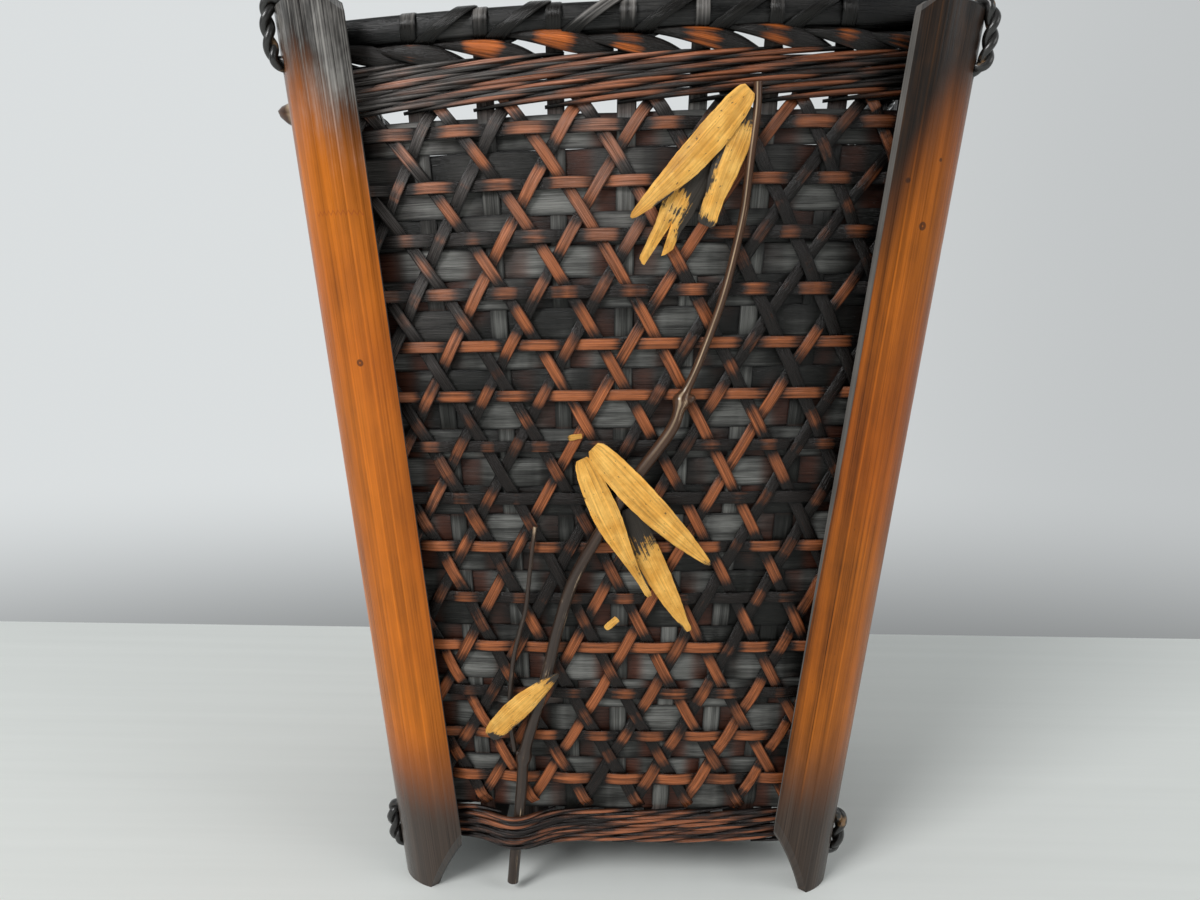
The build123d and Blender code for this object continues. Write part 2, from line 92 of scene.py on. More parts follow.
# Liner and twining
STAKE_PITCH_LOW, STAKE_PITCH_HIGH = 13.8, 20.7
FLOATS_IN_ROW = 9.0
CORNER_FLOAT_PITCH = 17.5

SIDES = {"front": 0.0, "right": 90.0, "back": 180.0, "left": 270.0}
CORNERS = {"front_left": (-1, -1), "front_right": (1, -1), "back_right": (1, 1), "back_left": (-1, 1)}


class Wire:
    """A node socket that takes part in Python arithmetic by adding Math nodes to its tree."""

    def __init__(self, tree, socket):
        self.tree = tree
        self.socket = socket

    def math(self, operation, *terms):
        return self.tree.add("ShaderNodeMath", {"operation": operation}, dict(enumerate((self, *terms))))[0]

    def __add__(self, other):
        return self.math("ADD", other)

    def __sub__(self, other):
        return self.math("SUBTRACT", other)

    def __rsub__(self, other):
        return self.math("MULTIPLY_ADD", -1.0, other)

    def __mul__(self, other):
        return self.math("MULTIPLY", other)

    def __truediv__(self, other):
        return self.math("DIVIDE", other)

    def __rtruediv__(self, other):
        return self ** -1.0 * other

    def __pow__(self, other):
        return self.math("POWER", other)

    def __neg__(self):
        return self.math("MULTIPLY", -1.0)

    def __abs__(self):
        return self.math("ABSOLUTE")

    def __gt__(self, other):
        return self.math("GREATER_THAN", other)

    def __lt__(self, other):
        return self.math("LESS_THAN", other)

    __radd__ = __add__
    __rmul__ = __mul__

    def floor(self):
        return self.math("FLOOR")

    def cos(self):
        return self.math("COSINE")

    def sin(self):
        return self.math("SINE")

    def at_least(self, low):
        return self.math("MAXIMUM", low)

    def at_most(self, high):
        return self.math("MINIMUM", high)

    def within(self, low, high):
        return self.at_least(low).at_most(high)

    def step(self, low, high):
        """0 below low and 1 above high, with a soft rise between; low may be the larger."""
        share = ((self - low) / (high - low)).within(0.0, 1.0)
        return share * share * (3.0 - 2.0 * share)


class Nodes:
    """A node tree to which nodes are added one call at a time."""

    def __init__(self, tree):
        self.tree = tree

    def add(self, kind, settings=None, sockets=None):
        node = self.tree.nodes.new(kind)
        for key, value in (settings or {}).items():
            if key == "items":
                while len(node.index_switch_items) < value:
                    node.index_switch_items.new()
            else:
                setattr(node, key, value)
        for key, value in (sockets or {}).items():
            if isinstance(value, Wire):
                self.tree.links.new(value.socket, node.inputs[key])
            else:
                node.inputs[key].default_value = value
        return [Wire(self, socket) for socket in node.outputs]

    def vector(self, x, y, z):
        return self.add("ShaderNodeCombineXYZ", None, {0: x, 1: y, 2: z})[0]

    def mix(self, share, low, high):
        """A colour between two colours."""
        return self.add("ShaderNodeMix", {"data_type": "RGBA"}, {0: share, 6: low, 7: high})[2]

    def tint(self, colour, amount):
        """A colour made lighter or darker by a number."""
        sockets = {0: 1.0, 6: colour, 7: self.vector(amount, amount, amount)}
        return self.add("ShaderNodeMix", {"data_type": "RGBA", "blend_type": "MULTIPLY"}, sockets)[2]


# Materials


class Finish(Nodes):
    """A material with one Principled shader, whose nodes are added by expressions."""

    def __init__(self, name, **sockets):
        self.material = bpy.data.materials.new(name)
        self.material.use_nodes = True
        super().__init__(self.material.node_tree)
        self.shader = self.tree.nodes["Principled BSDF"]
        for key, value in sockets.items():
            self.shader.inputs[key.replace("_", " ")].default_value = value

    def set(self, key, wire):
        self.tree.links.new(wire.socket, self.shader.inputs[key])

    def place(self):
        """Object coordinates in millimetres, one number for each axis."""
        point = self.add("ShaderNodeTexCoord")[3]
        return [wire * 1000.0 for wire in self.add("ShaderNodeSeparateXYZ", None, {0: point})]

    def attribute(self, name):
        return self.add("ShaderNodeAttribute", {"attribute_name": name})[2]

    def noise(self, x, y, z, detail=3.0, rough=0.5, spread=1.0):
        """Noise round 0.5, with its swing to either hand made wider by the spread."""
        sockets = {"Vector": self.vector(x, y, z), "Scale": 1.0, "Detail": detail, "Roughness": rough}
        wire = self.add("ShaderNodeTexNoise", None, sockets)[0]
        return wire if spread == 1.0 else ((wire - 0.5) * spread + 0.5).within(0.0, 1.0)

    def bump(self, height, depth, strength=1.0):
        sockets = {"Height": height, "Distance": depth * MM, "Strength": strength}
        self.set("Normal", self.add("ShaderNodeBump", None, sockets)[0])


class Smoke:
    """How a kind of strip is smoked: its dark and light colours, and where the light one shows.

    The follow is how far the light keeps to the raised parts, and the patch how far it wanders from
    strip to strip. The edge is where painted shade along the strip's edges begins, and the sheen
    argument sets how strong a painted silvery sheen is near the top left.
    """

    def __init__(
        self, dark, light, low, high, follow, patch, rough=0.3, fibres=5.0, edge=0.76, silver=0.0, red=None
    ):
        self.dark, self.light, self.low, self.high = (*dark, 1), (*light, 1), low, high
        self.follow, self.patch, self.rough, self.fibres = follow, patch, rough, fibres
        self.edge, self.silver, self.red = edge, silver, red
        self.pale = (*(min(1.0, value * 1.7) for value in light), 1)


def strip_finish(name, smoke):
    """Smoked bamboo strip, brown in places, with painted shade at its edges, dips and right side, and a
    painted sheen at top left.
    """
    finish = Finish(name, Specular_IOR_Level=0.26)
    along, across, tone, raised = (finish.attribute(word) for word in ("along", "across", "tone", "raised"))
    x, y, z = finish.place()
    grain = finish.noise(along * 0.03, across * 1.8 + tone * 41.0, tone * 97.0, 4.0, 0.6, 2.0)
    fibre = finish.noise(along * 0.05, across * smoke.fibres + tone * 13.0, tone * 57.0, 5.0, 0.75, 3.0)
    region = finish.noise(x * 0.02, y * 0.02, z * 0.02, 3.0, 0.55, 2.2)
    burn = finish.noise(along * 0.06 + tone * 71.0, tone * 19.0, 3.0, 3.0, 0.6, 2.2)
    near_post = abs(x).at_most(abs(y)) / (abs(x).at_least(abs(y)) * 0.9)
    wander = (region + burn + tone - 1.5) * smoke.patch
    reach = (raised - 0.5) * smoke.follow + 0.5 + wander + (grain - 0.5) * 0.3
    shown = (reach - near_post ** 4.0 * 0.4).step(smoke.low, smoke.high)
    # Painted sheen: a silvery colour on the raised parts near the top on the left
    silver = (z * 0.006 - x * 0.006 + region * 0.8).step(1.4, 2.5) * (0.2 + fibre * 0.8)
    light = finish.mix((grain + tone * 0.5).step(0.4, 1.2), smoke.light, smoke.pale)
    colour = finish.mix(shown, smoke.dark, light)
    colour = finish.mix(silver * raised * smoke.silver, colour, (0.400, 0.360, 0.340, 1))
    if smoke.red:
        colour = finish.mix((1.0 - raised).step(0.3, 0.8) * region.step(0.25, 0.6), colour, (*smoke.red, 1))
    # Painted shade: darker at the edges across the strip, where it dips under others, and towards +X, most
    # near the top
    edge = 1.0 - abs(across).step(smoke.edge, 1.0) * 0.8
    dip = raised.step(-0.1, 0.5) * 0.7 + 0.3
    shade = 1.0 - x.step(0.0, 80.0) * (0.25 + z.step(120.0, 240.0) * 0.35)
    finish.set("Base Color", finish.tint(colour, (0.1 + grain * 0.6 + fibre * 1.2) * edge * dip * shade))
    finish.set("Roughness", (smoke.rough + (fibre - 0.5) * 0.25).within(0.16, 0.9))
    finish.bump(grain * 0.3 + fibre * 0.7, 0.14, 0.7)
    return finish.material


lattice_finish = strip_finish(
    "smoked_lattice_strip",
    Smoke((0.010, 0.007, 0.006), (0.190, 0.058, 0.020), 0.30, 0.98, 0.85, 0.85, 0.24, 9.0, silver=0.4),
)
liner_finish = strip_finish(
    "charcoal_liner_strip",
    Smoke(
        (0.007, 0.007, 0.006), (0.078, 0.078, 0.073), 0.25, 0.9, 0.3, 0.5, 0.34, 17.0,
        silver=0.3, red=(0.070, 0.022, 0.012),
    ),
)
twining_finish = strip_finish(
    "twined_splint",
    Smoke(
        (0.009, 0.007, 0.006), (0.190, 0.055, 0.018), 0.55, 1.2, 0.9, 0.7, 0.26, 2.5, edge=0.35, silver=0.4
    ),
)
lower_finish = strip_finish(
    "lower_twined_splint",
    Smoke((0.014, 0.010, 0.009), (0.180, 0.062, 0.028), 0.55, 1.2, 0.8, 0.7, 0.3, 2.5, edge=0.35),
)
twist_finish = strip_finish(
    "rope_row_strip", Smoke((0.011, 0.009, 0.008), (0.230, 0.056, 0.008), 0.78, 1.02, 1.0, 0.2, 0.26)
)
rim_finish = strip_finish(
    "rim_strip", Smoke((0.004, 0.004, 0.004), (0.022, 0.021, 0.020), 0.45, 1.2, 0.5, 0.5, 0.3)
)
strap_finish = strip_finish(
    "rim_strap_strip", Smoke((0.008, 0.007, 0.006), (0.110, 0.102, 0.096), 0.5, 1.1, 0.8, 0.7, 0.26)
)


# Spots on the front posts: whether on the right, bearing, height, radius and how open the middle is
POST_SPOTS = (
    (True, 45.0, 223.0, 1.2, 0.0),
    (True, 23.0, 211.0, 0.8, 0.9),
    (True, 16.0, 229.0, 0.9, 0.0),
    (False, 32.0, 171.0, 0.7, 0.9),
)


def post_finish():
    """Split culm: ribbed orange brown, burnt to charcoal at both ends, with grey cut edges.

    The left posts are paler than the right ones, and their burnt ends carry a painted grey sheen.
    Painted shade darkens each post towards its flanks, and the cut edges of the left posts.
    """
    finish = Finish("smoked_post", Coat_Roughness=0.2, Specular_IOR_Level=0.2)
    x, y, z = finish.place()
    right = x > 0.0
    hand = x.math("SIGN") * 37.0 + y.math("SIGN") * 91.0
    centre = z * POST_SLOPE + POST_LOW
    off_x, off_y = abs(x) - centre, abs(y) - centre
    bearing = off_y.math("ARCTAN2", off_x) * (180.0 / math.pi) - 45.0
    depth = (off_x * off_x + off_y * off_y) ** 0.5
    rib = finish.noise(bearing * 0.085 + hand, z * 0.0035, hand, 3.0, 0.65, 1.7)
    fine = finish.noise(bearing * 0.5 + hand, z * 0.012, hand, 3.0, 0.7, 1.8)
    cloud = finish.noise(x * 0.016, y * 0.016, z * 0.011, 2.0)
    mottle = finish.noise(x * 0.14, y * 0.14, z * 0.05, 4.0, 0.6, 1.5)
    speck = finish.noise(bearing * 0.16 + hand, z * 0.10, 7.0, 3.0, 0.75)

    # Burnt ends, with a smoky fringe; the right posts are burnt further down along the inner edge
    far = abs(bearing) / 64.0
    edge_burn = far * far * 14.0 + right * (bearing.step(20.0, 62.0) * 22.0 + 8.0) - 8.0
    level = z + (cloud - 0.5) * 70.0 + (fine - 0.5) * 10.0 + (mottle - 0.5) * 14.0 + edge_burn
    low = z + (cloud - 0.5) * 26.0 - (fine - 0.5) * 10.0 - (rib - 0.5) * 14.0 - right * 6.0
    burnt = 1.0 - (1.0 - level.step(222.0, 262.0)) * low.step(20.0, 60.0)
    clear = finish.mix(cloud.step(0.3, 0.7), (0.430, 0.100, 0.006, 1), (0.510, 0.142, 0.010, 1))
    line = 1.0 - abs(bearing - 42.0).step(0.4, 1.4)
    # The shade is grain in the ribs and mottle, with painted shade darkening the post towards its flanks
    shade = 0.22 + rib * 0.92 + fine * 0.5 + (mottle - 0.5) * 0.4
    shade = shade - far * far * 0.3 + line * 0.25 - right * 0.3
    clear = finish.tint(clear, shade)
    scar_wave = abs(bearing * 0.2 - (bearing * 0.2 + 0.5).floor()) * 2.4
    scar = (abs(z - 212.5 - scar_wave) < 0.3) * (bearing > 8.0) * (bearing < 56.0) * (1.0 - right) * (y < 0.0)
    clear = finish.mix(scar * 0.4, clear, (0.240, 0.040, 0.010, 1))
    clear = finish.mix(speck.step(0.71, 0.76), clear, (0.030, 0.014, 0.009, 1))
    for on_right, spot_bearing, height, radius, open_middle in POST_SPOTS:
        run, rise = (bearing - spot_bearing) * POST_DEGREE, z - height
        gap = abs((run * run + rise * rise) ** 0.5 - radius * open_middle)
        dot = (1.0 - gap.step(radius * 0.4, radius * 0.8)) * (y < 0.0) * (right if on_right else 1.0 - right)
        clear = finish.mix(dot * 0.75, clear, (0.030, 0.012, 0.007, 1))
    # Painted grey sheen on the burnt ends of the left posts; the right posts' burnt ends get a brown char
    # tone
    grey = finish.mix(right, (0.400, 0.380, 0.355, 1), (0.060, 0.026, 0.010, 1))
    shine = (fine * 0.5 + mottle * 0.5 + line * 0.2).step(0.35, 1.0)
    char = finish.mix(shine, (0.012, 0.010, 0.009, 1), grey)
    foot = finish.mix(fine, (0.016, 0.012, 0.010, 1), (0.080, 0.054, 0.040, 1))
    char = finish.mix(z.step(110.0, 40.0), char, foot)
    colour = finish.mix(burnt, clear, finish.tint(char, 0.45 + rib))

    cut_edge = (abs(bearing) + right * z.step(60.0, 170.0) * 4.0 > 63.2) * (z > 22.0)
    hollow = 1.0 - depth.step(15.2, 15.8)
    raw = finish.mix(fine, (0.110, 0.100, 0.092, 1), (0.260, 0.240, 0.220, 1))
    # Painted shade: the cut edges of the left posts are made darker than those of the right ones
    raw = finish.tint(raw, (0.5 + mottle * 0.7) * (0.15 + right * 0.4))
    finish.set("Base Color", finish.mix(cut_edge.at_least(hollow), colour, raw))
    finish.set("Roughness", (0.33 + cut_edge * 0.3 + (fine - 0.5) * 0.25).within(0.2, 0.9))
    finish.set("Coat Weight", (1.0 - cut_edge) * (0.05 + burnt * 0.35 * (1.0 - right)))
    facet = abs(bearing * 0.045 - (bearing * 0.045 + 0.5).floor()) * z.step(120.0, 240.0)
    finish.bump(rib * 0.4 + fine * 0.2 + facet * 0.5, 0.5, 0.5)
    return finish.material


def cane_finish():
    """Dark glossy cane, rubbed to tan in places."""
    finish = Finish("dark_cane", Coat_Weight=0.5, Coat_Roughness=0.2)
    x, y, z = finish.place()
    along = finish.attribute("along")
    worn = finish.noise(x * 0.16, y * 0.16, z * 0.16, 3.0, 0.6)
    fibre = finish.noise(along * 0.2, finish.attribute("across") * 4.0, 3.0, 3.0)
    colour = finish.mix(worn.step(0.60, 0.70), (0.006, 0.005, 0.004, 1), (0.260, 0.150, 0.068, 1))
    finish.set("Base Color", finish.tint(colour, 0.6 + fibre * 0.7))
    finish.set("Roughness", 0.28 + fibre * 0.2)
    finish.bump(fibre, 0.2, 0.5)
    return finish.material


def leaf_finish():
    """Dried golden leaf with long veins and black stains at its edges and ends."""
    finish = Finish("dried_leaf_blade", Specular_IOR_Level=0.35)
    along, across, tone, raised = (finish.attribute(word) for word in ("along", "across", "tone", "raised"))
    x, y, z = finish.place()
    vein = finish.noise(along * 0.05, across * 7.0 + tone * 31.0, tone * 11.0, 3.0, 0.6, 1.8)
    stain = finish.noise(x * 0.16, y * 0.16, z * 0.16, 4.0, 0.65)
    speck = finish.noise(along * 0.6, across * 5.0 + tone * 17.0, tone * 23.0, 3.0, 0.6)
    gold = finish.mix(stain.step(0.3, 0.8), (0.600, 0.280, 0.040, 1), (0.840, 0.490, 0.120, 1))
    gold = finish.tint(gold, 0.62 + vein * 0.88)
    dark = (raised + (stain - 0.5) * 1.7 + (vein - 0.5) * 0.7).step(0.38, 0.62)
    dark = dark.at_least(speck.step(0.655, 0.70) * 0.85)
    finish.set("Base Color", finish.mix(dark, gold, (0.030, 0.024, 0.018, 1)))
    finish.set("Roughness", 0.5 + (vein - 0.5) * 0.3)
    finish.bump(vein, 0.3, 0.7)
    return finish.material


def twig_finish():
    """Dark polished twig with paler rubbed streaks, and a painted highlight line along its upper front."""
    finish = Finish("dark_twig", Coat_Weight=0.4, Coat_Roughness=0.12, Specular_IOR_Level=0.3)
    x, y, z = finish.place()
    along, across = finish.attribute("along"), finish.attribute("across")
    streak = finish.noise(along * 0.05, across * 3.5, 5.0, 4.0, 0.65, 2.0)
    patch = finish.noise(x * 0.10, y * 0.10, z * 0.10, 4.0, 0.6, 1.6)
    bark = finish.mix(z.step(90.0, 170.0), (0.032, 0.020, 0.014, 1), (0.062, 0.026, 0.011, 1))
    # Painted highlight: a pale line where the surface faces a little towards -X, on pieces above about 150 mm
    normal = finish.add("ShaderNodeNewGeometry")[1]
    sideways = finish.add("ShaderNodeSeparateXYZ", None, {0: normal})[0]
    painted_highlight = (1.0 - abs(sideways + 0.25).step(0.05, 0.22)) * z.step(135.0, 165.0) * (0.35 + patch * 0.65)
    worn = (streak * 0.6 + patch * 0.6).step(0.74, 1.0).at_least(painted_highlight)
    colour = finish.mix(worn, bark, (0.480, 0.350, 0.225, 1))
    finish.set("Base Color", finish.tint(colour, 0.45 + streak * 1.1))
    finish.set("Roughness", 0.28 + streak * 0.2)
    finish.bump(streak, 0.12, 0.6)
    return finish.material


def base_finish():
    """Charcoal strips of the base, their grain lying along X or Y."""
    finish = Finish("charcoal_base_strip")
    x, y, z = finish.place()
    grain = finish.noise(x * 0.06, y * 0.9, z * 0.3, 4.0, 0.6) * (z < BASE_LAYERS_MEET)
    grain = grain + finish.noise(x * 0.9, y * 0.06, z * 0.3, 4.0, 0.6) * (z > BASE_LAYERS_MEET)
    colour = finish.mix(grain.step(0.35, 0.7), (0.018, 0.017, 0.016, 1), (0.050, 0.042, 0.038, 1))
    finish.set("Base Color", colour)
    finish.set("Roughness", 0.45 + grain * 0.3)
    finish.bump(grain, 0.2, 0.6)
    return finish.material


def tube_finish():
    """Plain bamboo culm, straw coloured and fibrous."""
    finish = Finish("straw_culm", Coat_Weight=0.2, Coat_Roughness=0.3)
    x, y, z = finish.place()
    streak = finish.noise(x * 0.6, y * 0.6, z * 0.008, 4.0, 0.6)
    cloud = finish.noise(x * 0.03, y * 0.03, z * 0.03, 2.0)
    colour = finish.mix(cloud.step(0.3, 0.7), (0.330, 0.210, 0.080, 1), (0.470, 0.330, 0.140, 1))
    ring = 1.0 - abs(z - TUBE_KNOT).step(0.4, 2.2)
    colour = finish.mix(ring * 0.7, finish.tint(colour, 0.7 + streak * 0.6), (0.110, 0.065, 0.030, 1))
    finish.set("Base Color", colour)
    finish.set("Roughness", 0.36 + streak * 0.2)
    finish.bump(streak, 0.2, 0.5)
    return finish.material


post_material = post_finish()
cane_material = cane_finish()
leaf_material = leaf_finish()
twig_material = twig_finish()
tube_material = tube_finish()
base_material = base_finish()


# Pieces


def finish_piece(mesh, name, nodes, body="basket", angle=40.0):
    """Puts a mesh into the scene as one piece that stands for CAD nodes."""
    work = bmesh.new()
    work.from_mesh(mesh)
    bmesh.ops.remove_doubles(work, verts=work.verts, dist=0.002 * MM)
    bmesh.ops.dissolve_degenerate(work, edges=work.edges, dist=0.001 * MM)
    bmesh.ops.recalc_face_normals(work, faces=work.faces)
    work.to_mesh(mesh)
    work.free()
    mesh.shade_smooth()
    mesh.set_sharp_from_angle(angle=math.radians(angle))
    piece = bpy.data.objects.new(name, mesh)
    bpy.context.scene.collection.objects.link(piece)
    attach(piece, body)
    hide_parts(*nodes)


# Sections of strips: across them and outward, the last point closing on the first
FLAT = ((-1.0, -1.0), (-1.0, 0.4), (-0.8, 1.0), (0.8, 1.0), (1.0, 0.4), (1.0, -1.0), (-1.0, -1.0))
DOME_SIDE = ((-1.0, -1.0), (-1.0, -0.5), (-0.75, 0.25), (-0.4, 0.8))
DOMED = (*DOME_SIDE, (0.0, 1.0), *((-x, y) for x, y in DOME_SIDE[::-1]), DOME_SIDE[0])
ROUND = tuple((math.cos(math.radians(30 * i)), math.sin(math.radians(30 * i))) for i in range(12))
ROUND = (*ROUND, ROUND[0])


class Line:
    """Middle line of a strip: place, height and distance out, its width, its lie and how far it is raised."""

    def __init__(self, x, z, out, width, thick, raised, across=(0.0, 1.0), facing=(1.0, 0.0), run=190.0):
        self.x, self.z, self.out = x, z, out
        self.width, self.thick, self.raised = width, thick, raised
        self.across, self.facing, self.run = across, facing, run


class Weave(Nodes):
    """A Geometry Nodes tree that lays closed flat strips on the sides of the basket."""

    def __init__(self, name, lay, profile, **sizes):
        super().__init__(bpy.data.node_groups.new(name, "GeometryNodeTree"))
        self.profile = profile
        sizes = {"Strips": 1, "Segments": 60, "Sides": 1, "Turn": 0.0, "Seed": 1, **sizes}
        face = self.tree.interface
        face.new_socket("Geometry", in_out="OUTPUT", socket_type="NodeSocketGeometry")
        self.keys = {}
        for label, value in sizes.items():
            kind = "NodeSocketInt" if isinstance(value, int) else "NodeSocketFloat"
            socket = face.new_socket(label.replace("_", " "), in_out="INPUT", socket_type=kind)
            socket.default_value = value
            self.keys[label] = socket.identifier
        material = face.new_socket("Material", in_out="INPUT", socket_type="NodeSocketMaterial")
        self.keys["Material"] = material.identifier
        self.given = dict(zip(self.keys, self.add("NodeGroupInput")))
        self.lay_strips(lay)

    def chance(self, low, high, salt):
        """A random number for each strip."""
        sockets = {2: low, 3: high, 7: self.strip, 8: self.given["Seed"] + salt}
        return self.add("FunctionNodeRandomValue", {"data_type": "FLOAT"}, sockets)[1]

    def section(self, corner, axis):
        values = {i + 1: point[axis] for i, point in enumerate(self.profile)}
        settings = {"data_type": "FLOAT", "items": len(self.profile)}
        return self.add("GeometryNodeIndexSwitch", settings, {0: corner + 0.25, **values})[0]

    def lay_strips(self, lay):
        given = self.given
        around = len(self.profile)
        rings = given["Segments"] + 3
        columns = given["Strips"] * given["Sides"] * float(around)
        mesh = self.add("GeometryNodeMeshGrid", None, {"Vertices X": columns, "Vertices Y": rings})[0]
        index = self.add("GeometryNodeInputIndex")[0]
        column = (index / rings + 0.001).floor()
        ring = index - column * rings
        self.strip = (column / float(around) + 0.001).floor()
        corner = column - self.strip * float(around)
        self.side = (self.strip / given["Strips"] + 0.001).floor()
        number = self.strip - self.side * given["Strips"]
        share = ((ring - 1.0) / given["Segments"]).within(0.0, 1.0)
        closed = (ring > 0.5) * (ring < given["Segments"] + 1.5)

        line = lay(self, number, share)
        across = self.section(corner, 0)
        outward = self.section(corner, 1) * closed * line.thick * 0.5
        half = across * line.width * 0.5
        x = line.x + half * line.across[0]
        z = line.z + half * line.across[1] + outward * line.facing[1]
        out = line.out + outward * line.facing[0]

        # Lay it on the bowed side and fold it round the corner
        reach = SIDE_REACH + SIDE_LEAN * z
        end = (reach + out) / FLAT_DIVISOR - FLAT_MARGIN
        flat = x.within(-end, end)
        past = x - flat
        corner_run = past.within(-CORNER_FLAT, CORNER_FLAT)
        beyond = past - corner_run
        y = flat * flat * BOW - reach - out + abs(corner_run) * CORNER_SLOPE + abs(beyond) * NEXT_SIDE_BACK
        x = flat + corner_run * CORNER_SLOPE + beyond * NEXT_SIDE_RUN
        turn = given["Turn"] + self.side * (math.pi / 2)
        lean = (turn.cos() * x - turn.sin() * y) * (z - LEAN_FROM).at_least(0.0) * LEAN
        point = self.vector(x * MM, y * MM, (z + lean) * MM)
        sockets = {"Vector": point, "Angle": turn}
        point = self.add("ShaderNodeVectorRotate", {"rotation_type": "Z_AXIS"}, sockets)[0]

        # Faces that lie between two strips go
        on_points = {"data_type": "FLOAT", "domain": "POINT"}
        strip_on_faces = self.add("GeometryNodeFieldOnDomain", on_points, {0: self.strip})[0]
        between = (strip_on_faces - (strip_on_faces + 0.001).floor()) > 0.25
        sockets = {"Geometry": mesh, "Selection": between}
        geometry = self.add("GeometryNodeDeleteGeometry", {"domain": "FACE"}, sockets)[0]
        for word, value in (
            ("raised", line.raised),
            ("along", share * line.run),
            ("across", across),
            ("tone", self.chance(0.0, 1.0, 77)),
        ):
            sockets = {"Geometry": geometry, "Name": word, "Value": value}
            geometry = self.add("GeometryNodeStoreNamedAttribute", on_points, sockets)[0]
        geometry = self.add("GeometryNodeSetPosition", None, {"Geometry": geometry, "Position": point})[0]
        geometry = self.add("GeometryNodeRealizeInstances", None, {"Geometry": geometry})[0]
        sockets = {"Geometry": geometry, "Material": given["Material"]}
        geometry = self.add("GeometryNodeSetMaterial", None, sockets)[0]
        self.add("NodeGroupOutput", None, {0: geometry})

    def make(self, name, slot, material, nodes, **sizes):
        """Makes a finished piece from the tree, with some of its sizes set."""
        holder = bpy.data.objects.new("holder", bpy.data.meshes.new("holder"))
        bpy.context.scene.collection.objects.link(holder)
        modifier = holder.modifiers.new("weave", "NODES")
        modifier.node_group = self.tree
        for label, value in {**sizes, "Material": material}.items():
            modifier[self.keys[label]] = value
        bpy.context.view_layer.update()
        made = bpy.data.meshes.new_from_object(holder.evaluated_get(bpy.context.evaluated_depsgraph_get()))
        made.name = name
        holder.modifiers.clear()
        bpy.data.objects.remove(holder)
        finish_piece(made, name, nodes)


def lattice_height(weave, row):
    """Height of the lattice at a row number, 0 at the top; the lower rows sit a little closer to the base."""
    sag = ((row - SAG_ROW) * (row - SAG_ROW) * SAG_SHARPNESS).math("EXPONENT")
    return weave.given["Top"] - row * weave.given["Row_Pitch"] - sag * SAG - LATTICE_DROP


def lattice_pitch(weave, z):
    """Distance along a row between parallel slanted strips, wider near the top."""
    rise = ((z - SPREAD_FROM) / SPREAD_OVER).at_least(0.0)
    return rise * rise * rise * weave.given["Spread"] + weave.given["Pitch"]


def corner_reach(z):
    """How far along a side its strips run, to the middle of the corner."""
    return (z * SIDE_LEAN + SIDE_REACH) / FLAT_DIVISOR - FLAT_MARGIN + CORNER_FLAT / 2


def lay_row(weave, number, share):
    given = weave.given
    level = lattice_height(weave, number)
    x = (share * 2.0 - 1.0) * corner_reach(level)
    phase = x / lattice_pitch(weave, level) - (given["Phase"] - number * 0.5)
    wave = -(phase * (2 * math.pi)).cos()
    z = level + weave.chance(-0.5, 0.5, 3)
    out = LATTICE_OUT + wave * given["Wave"]
    return Line(x, z, out, given["Width"] + weave.chance(-0.25, 0.2, 4), given["Thick"], wave * 0.5 + 0.5)


def lay_slanted(weave, number, share):
    given = weave.given
    hand = given["Hand"]
    place = number + given["First"] + given["Phase"]

    # The strip ends where it goes behind a post
    def edge(row):
        z = lattice_height(weave, row)
        return (z * POST_SLOPE + (POST_LOW + POST_COVER)) / lattice_pitch(weave, z)

    # The first guess is added to a wire, because an edge is worked out from one
    near = edge(number * 0.0 + GUESS_ROW)
    far = near
    for _ in range(GUESSES):
        near = edge(((place - hand * near) * hand * 2.0).within(*LATTICE_ENDS))
        far = edge(((place + hand * far) * hand * 2.0).within(*LATTICE_ENDS))
    top = ((place - hand * near) * hand * 2.0).within(*LATTICE_ENDS)
    bottom = ((place + hand * far) * hand * 2.0).within(*LATTICE_ENDS)
    row = bottom + (top - bottom) * share
    z = lattice_height(weave, row)
    x = (place - hand * row * 0.5) * lattice_pitch(weave, z) + weave.chance(-0.4, 0.4, 5)
    wave = (row * (2 * math.pi)).cos() * hand
    tuck = z.step(*TUCK_HIGH) * TUCK_HIGH_IN + z.step(*TUCK_LOW) * TUCK_LOW_IN
    out = LATTICE_OUT + wave * given["Wave"] - tuck
    width = given["Width"] + weave.chance(-0.25, 0.2, 6)
    return Line(x, z, out, width, given["Thick"], wave * 0.5 + 0.5, (0.866, hand * -0.5), run=240.0)


def stake_pitch(z):
    """Distance between stakes, which fan out towards the rim."""
    return (z - BASE_TOP) * ((STAKE_PITCH_HIGH - STAKE_PITCH_LOW) / (RIM_TOP - BASE_TOP)) + STAKE_PITCH_LOW


def lay_weaver(weave, number, share):
    given = weave.given
    pitch = (LINER_TOP - LINER_LOW) / given["Strips"]
    level = (number + 0.5) * pitch + LINER_LOW
    x = (share * 2.0 - 1.0) * corner_reach(level)
    wave = ((x / stake_pitch(level) + number) * math.pi).cos()
    z = level + weave.chance(-0.2, 0.2, 8)
    width = pitch + weave.chance(0.0, 0.5, 9)
    return Line(x, z, LINER_OUT + wave * given["Wave"], width, given["Thick"], wave * 0.5 + 0.5)


def lay_stake(weave, number, share):
    given = weave.given
    z = share * (RIM_TOP - BASE_TOP - 0.4) + (BASE_TOP + 0.2)
    place = number - 3.0
    x = place * stake_pitch(z)
    rows = (z - LINER_LOW) / (LINER_TOP - LINER_LOW) * given["Weavers"] - 0.5
    inside = z.step(LINER_LOW, LINER_LOW + 4.0) * z.step(LINER_TOP + 1.0, LINER_TOP - 3.0)
    wave = ((place + rows) * math.pi).cos() * inside
    out = LINER_OUT - wave * given["Wave"] - (1.0 - inside) * 0.4
    width = given["Width"] + weave.chance(-0.4, 0.4, 11)
    return Line(x, z, out, width, given["Thick"], 0.5 - wave * 0.5, (1.0, 0.0))


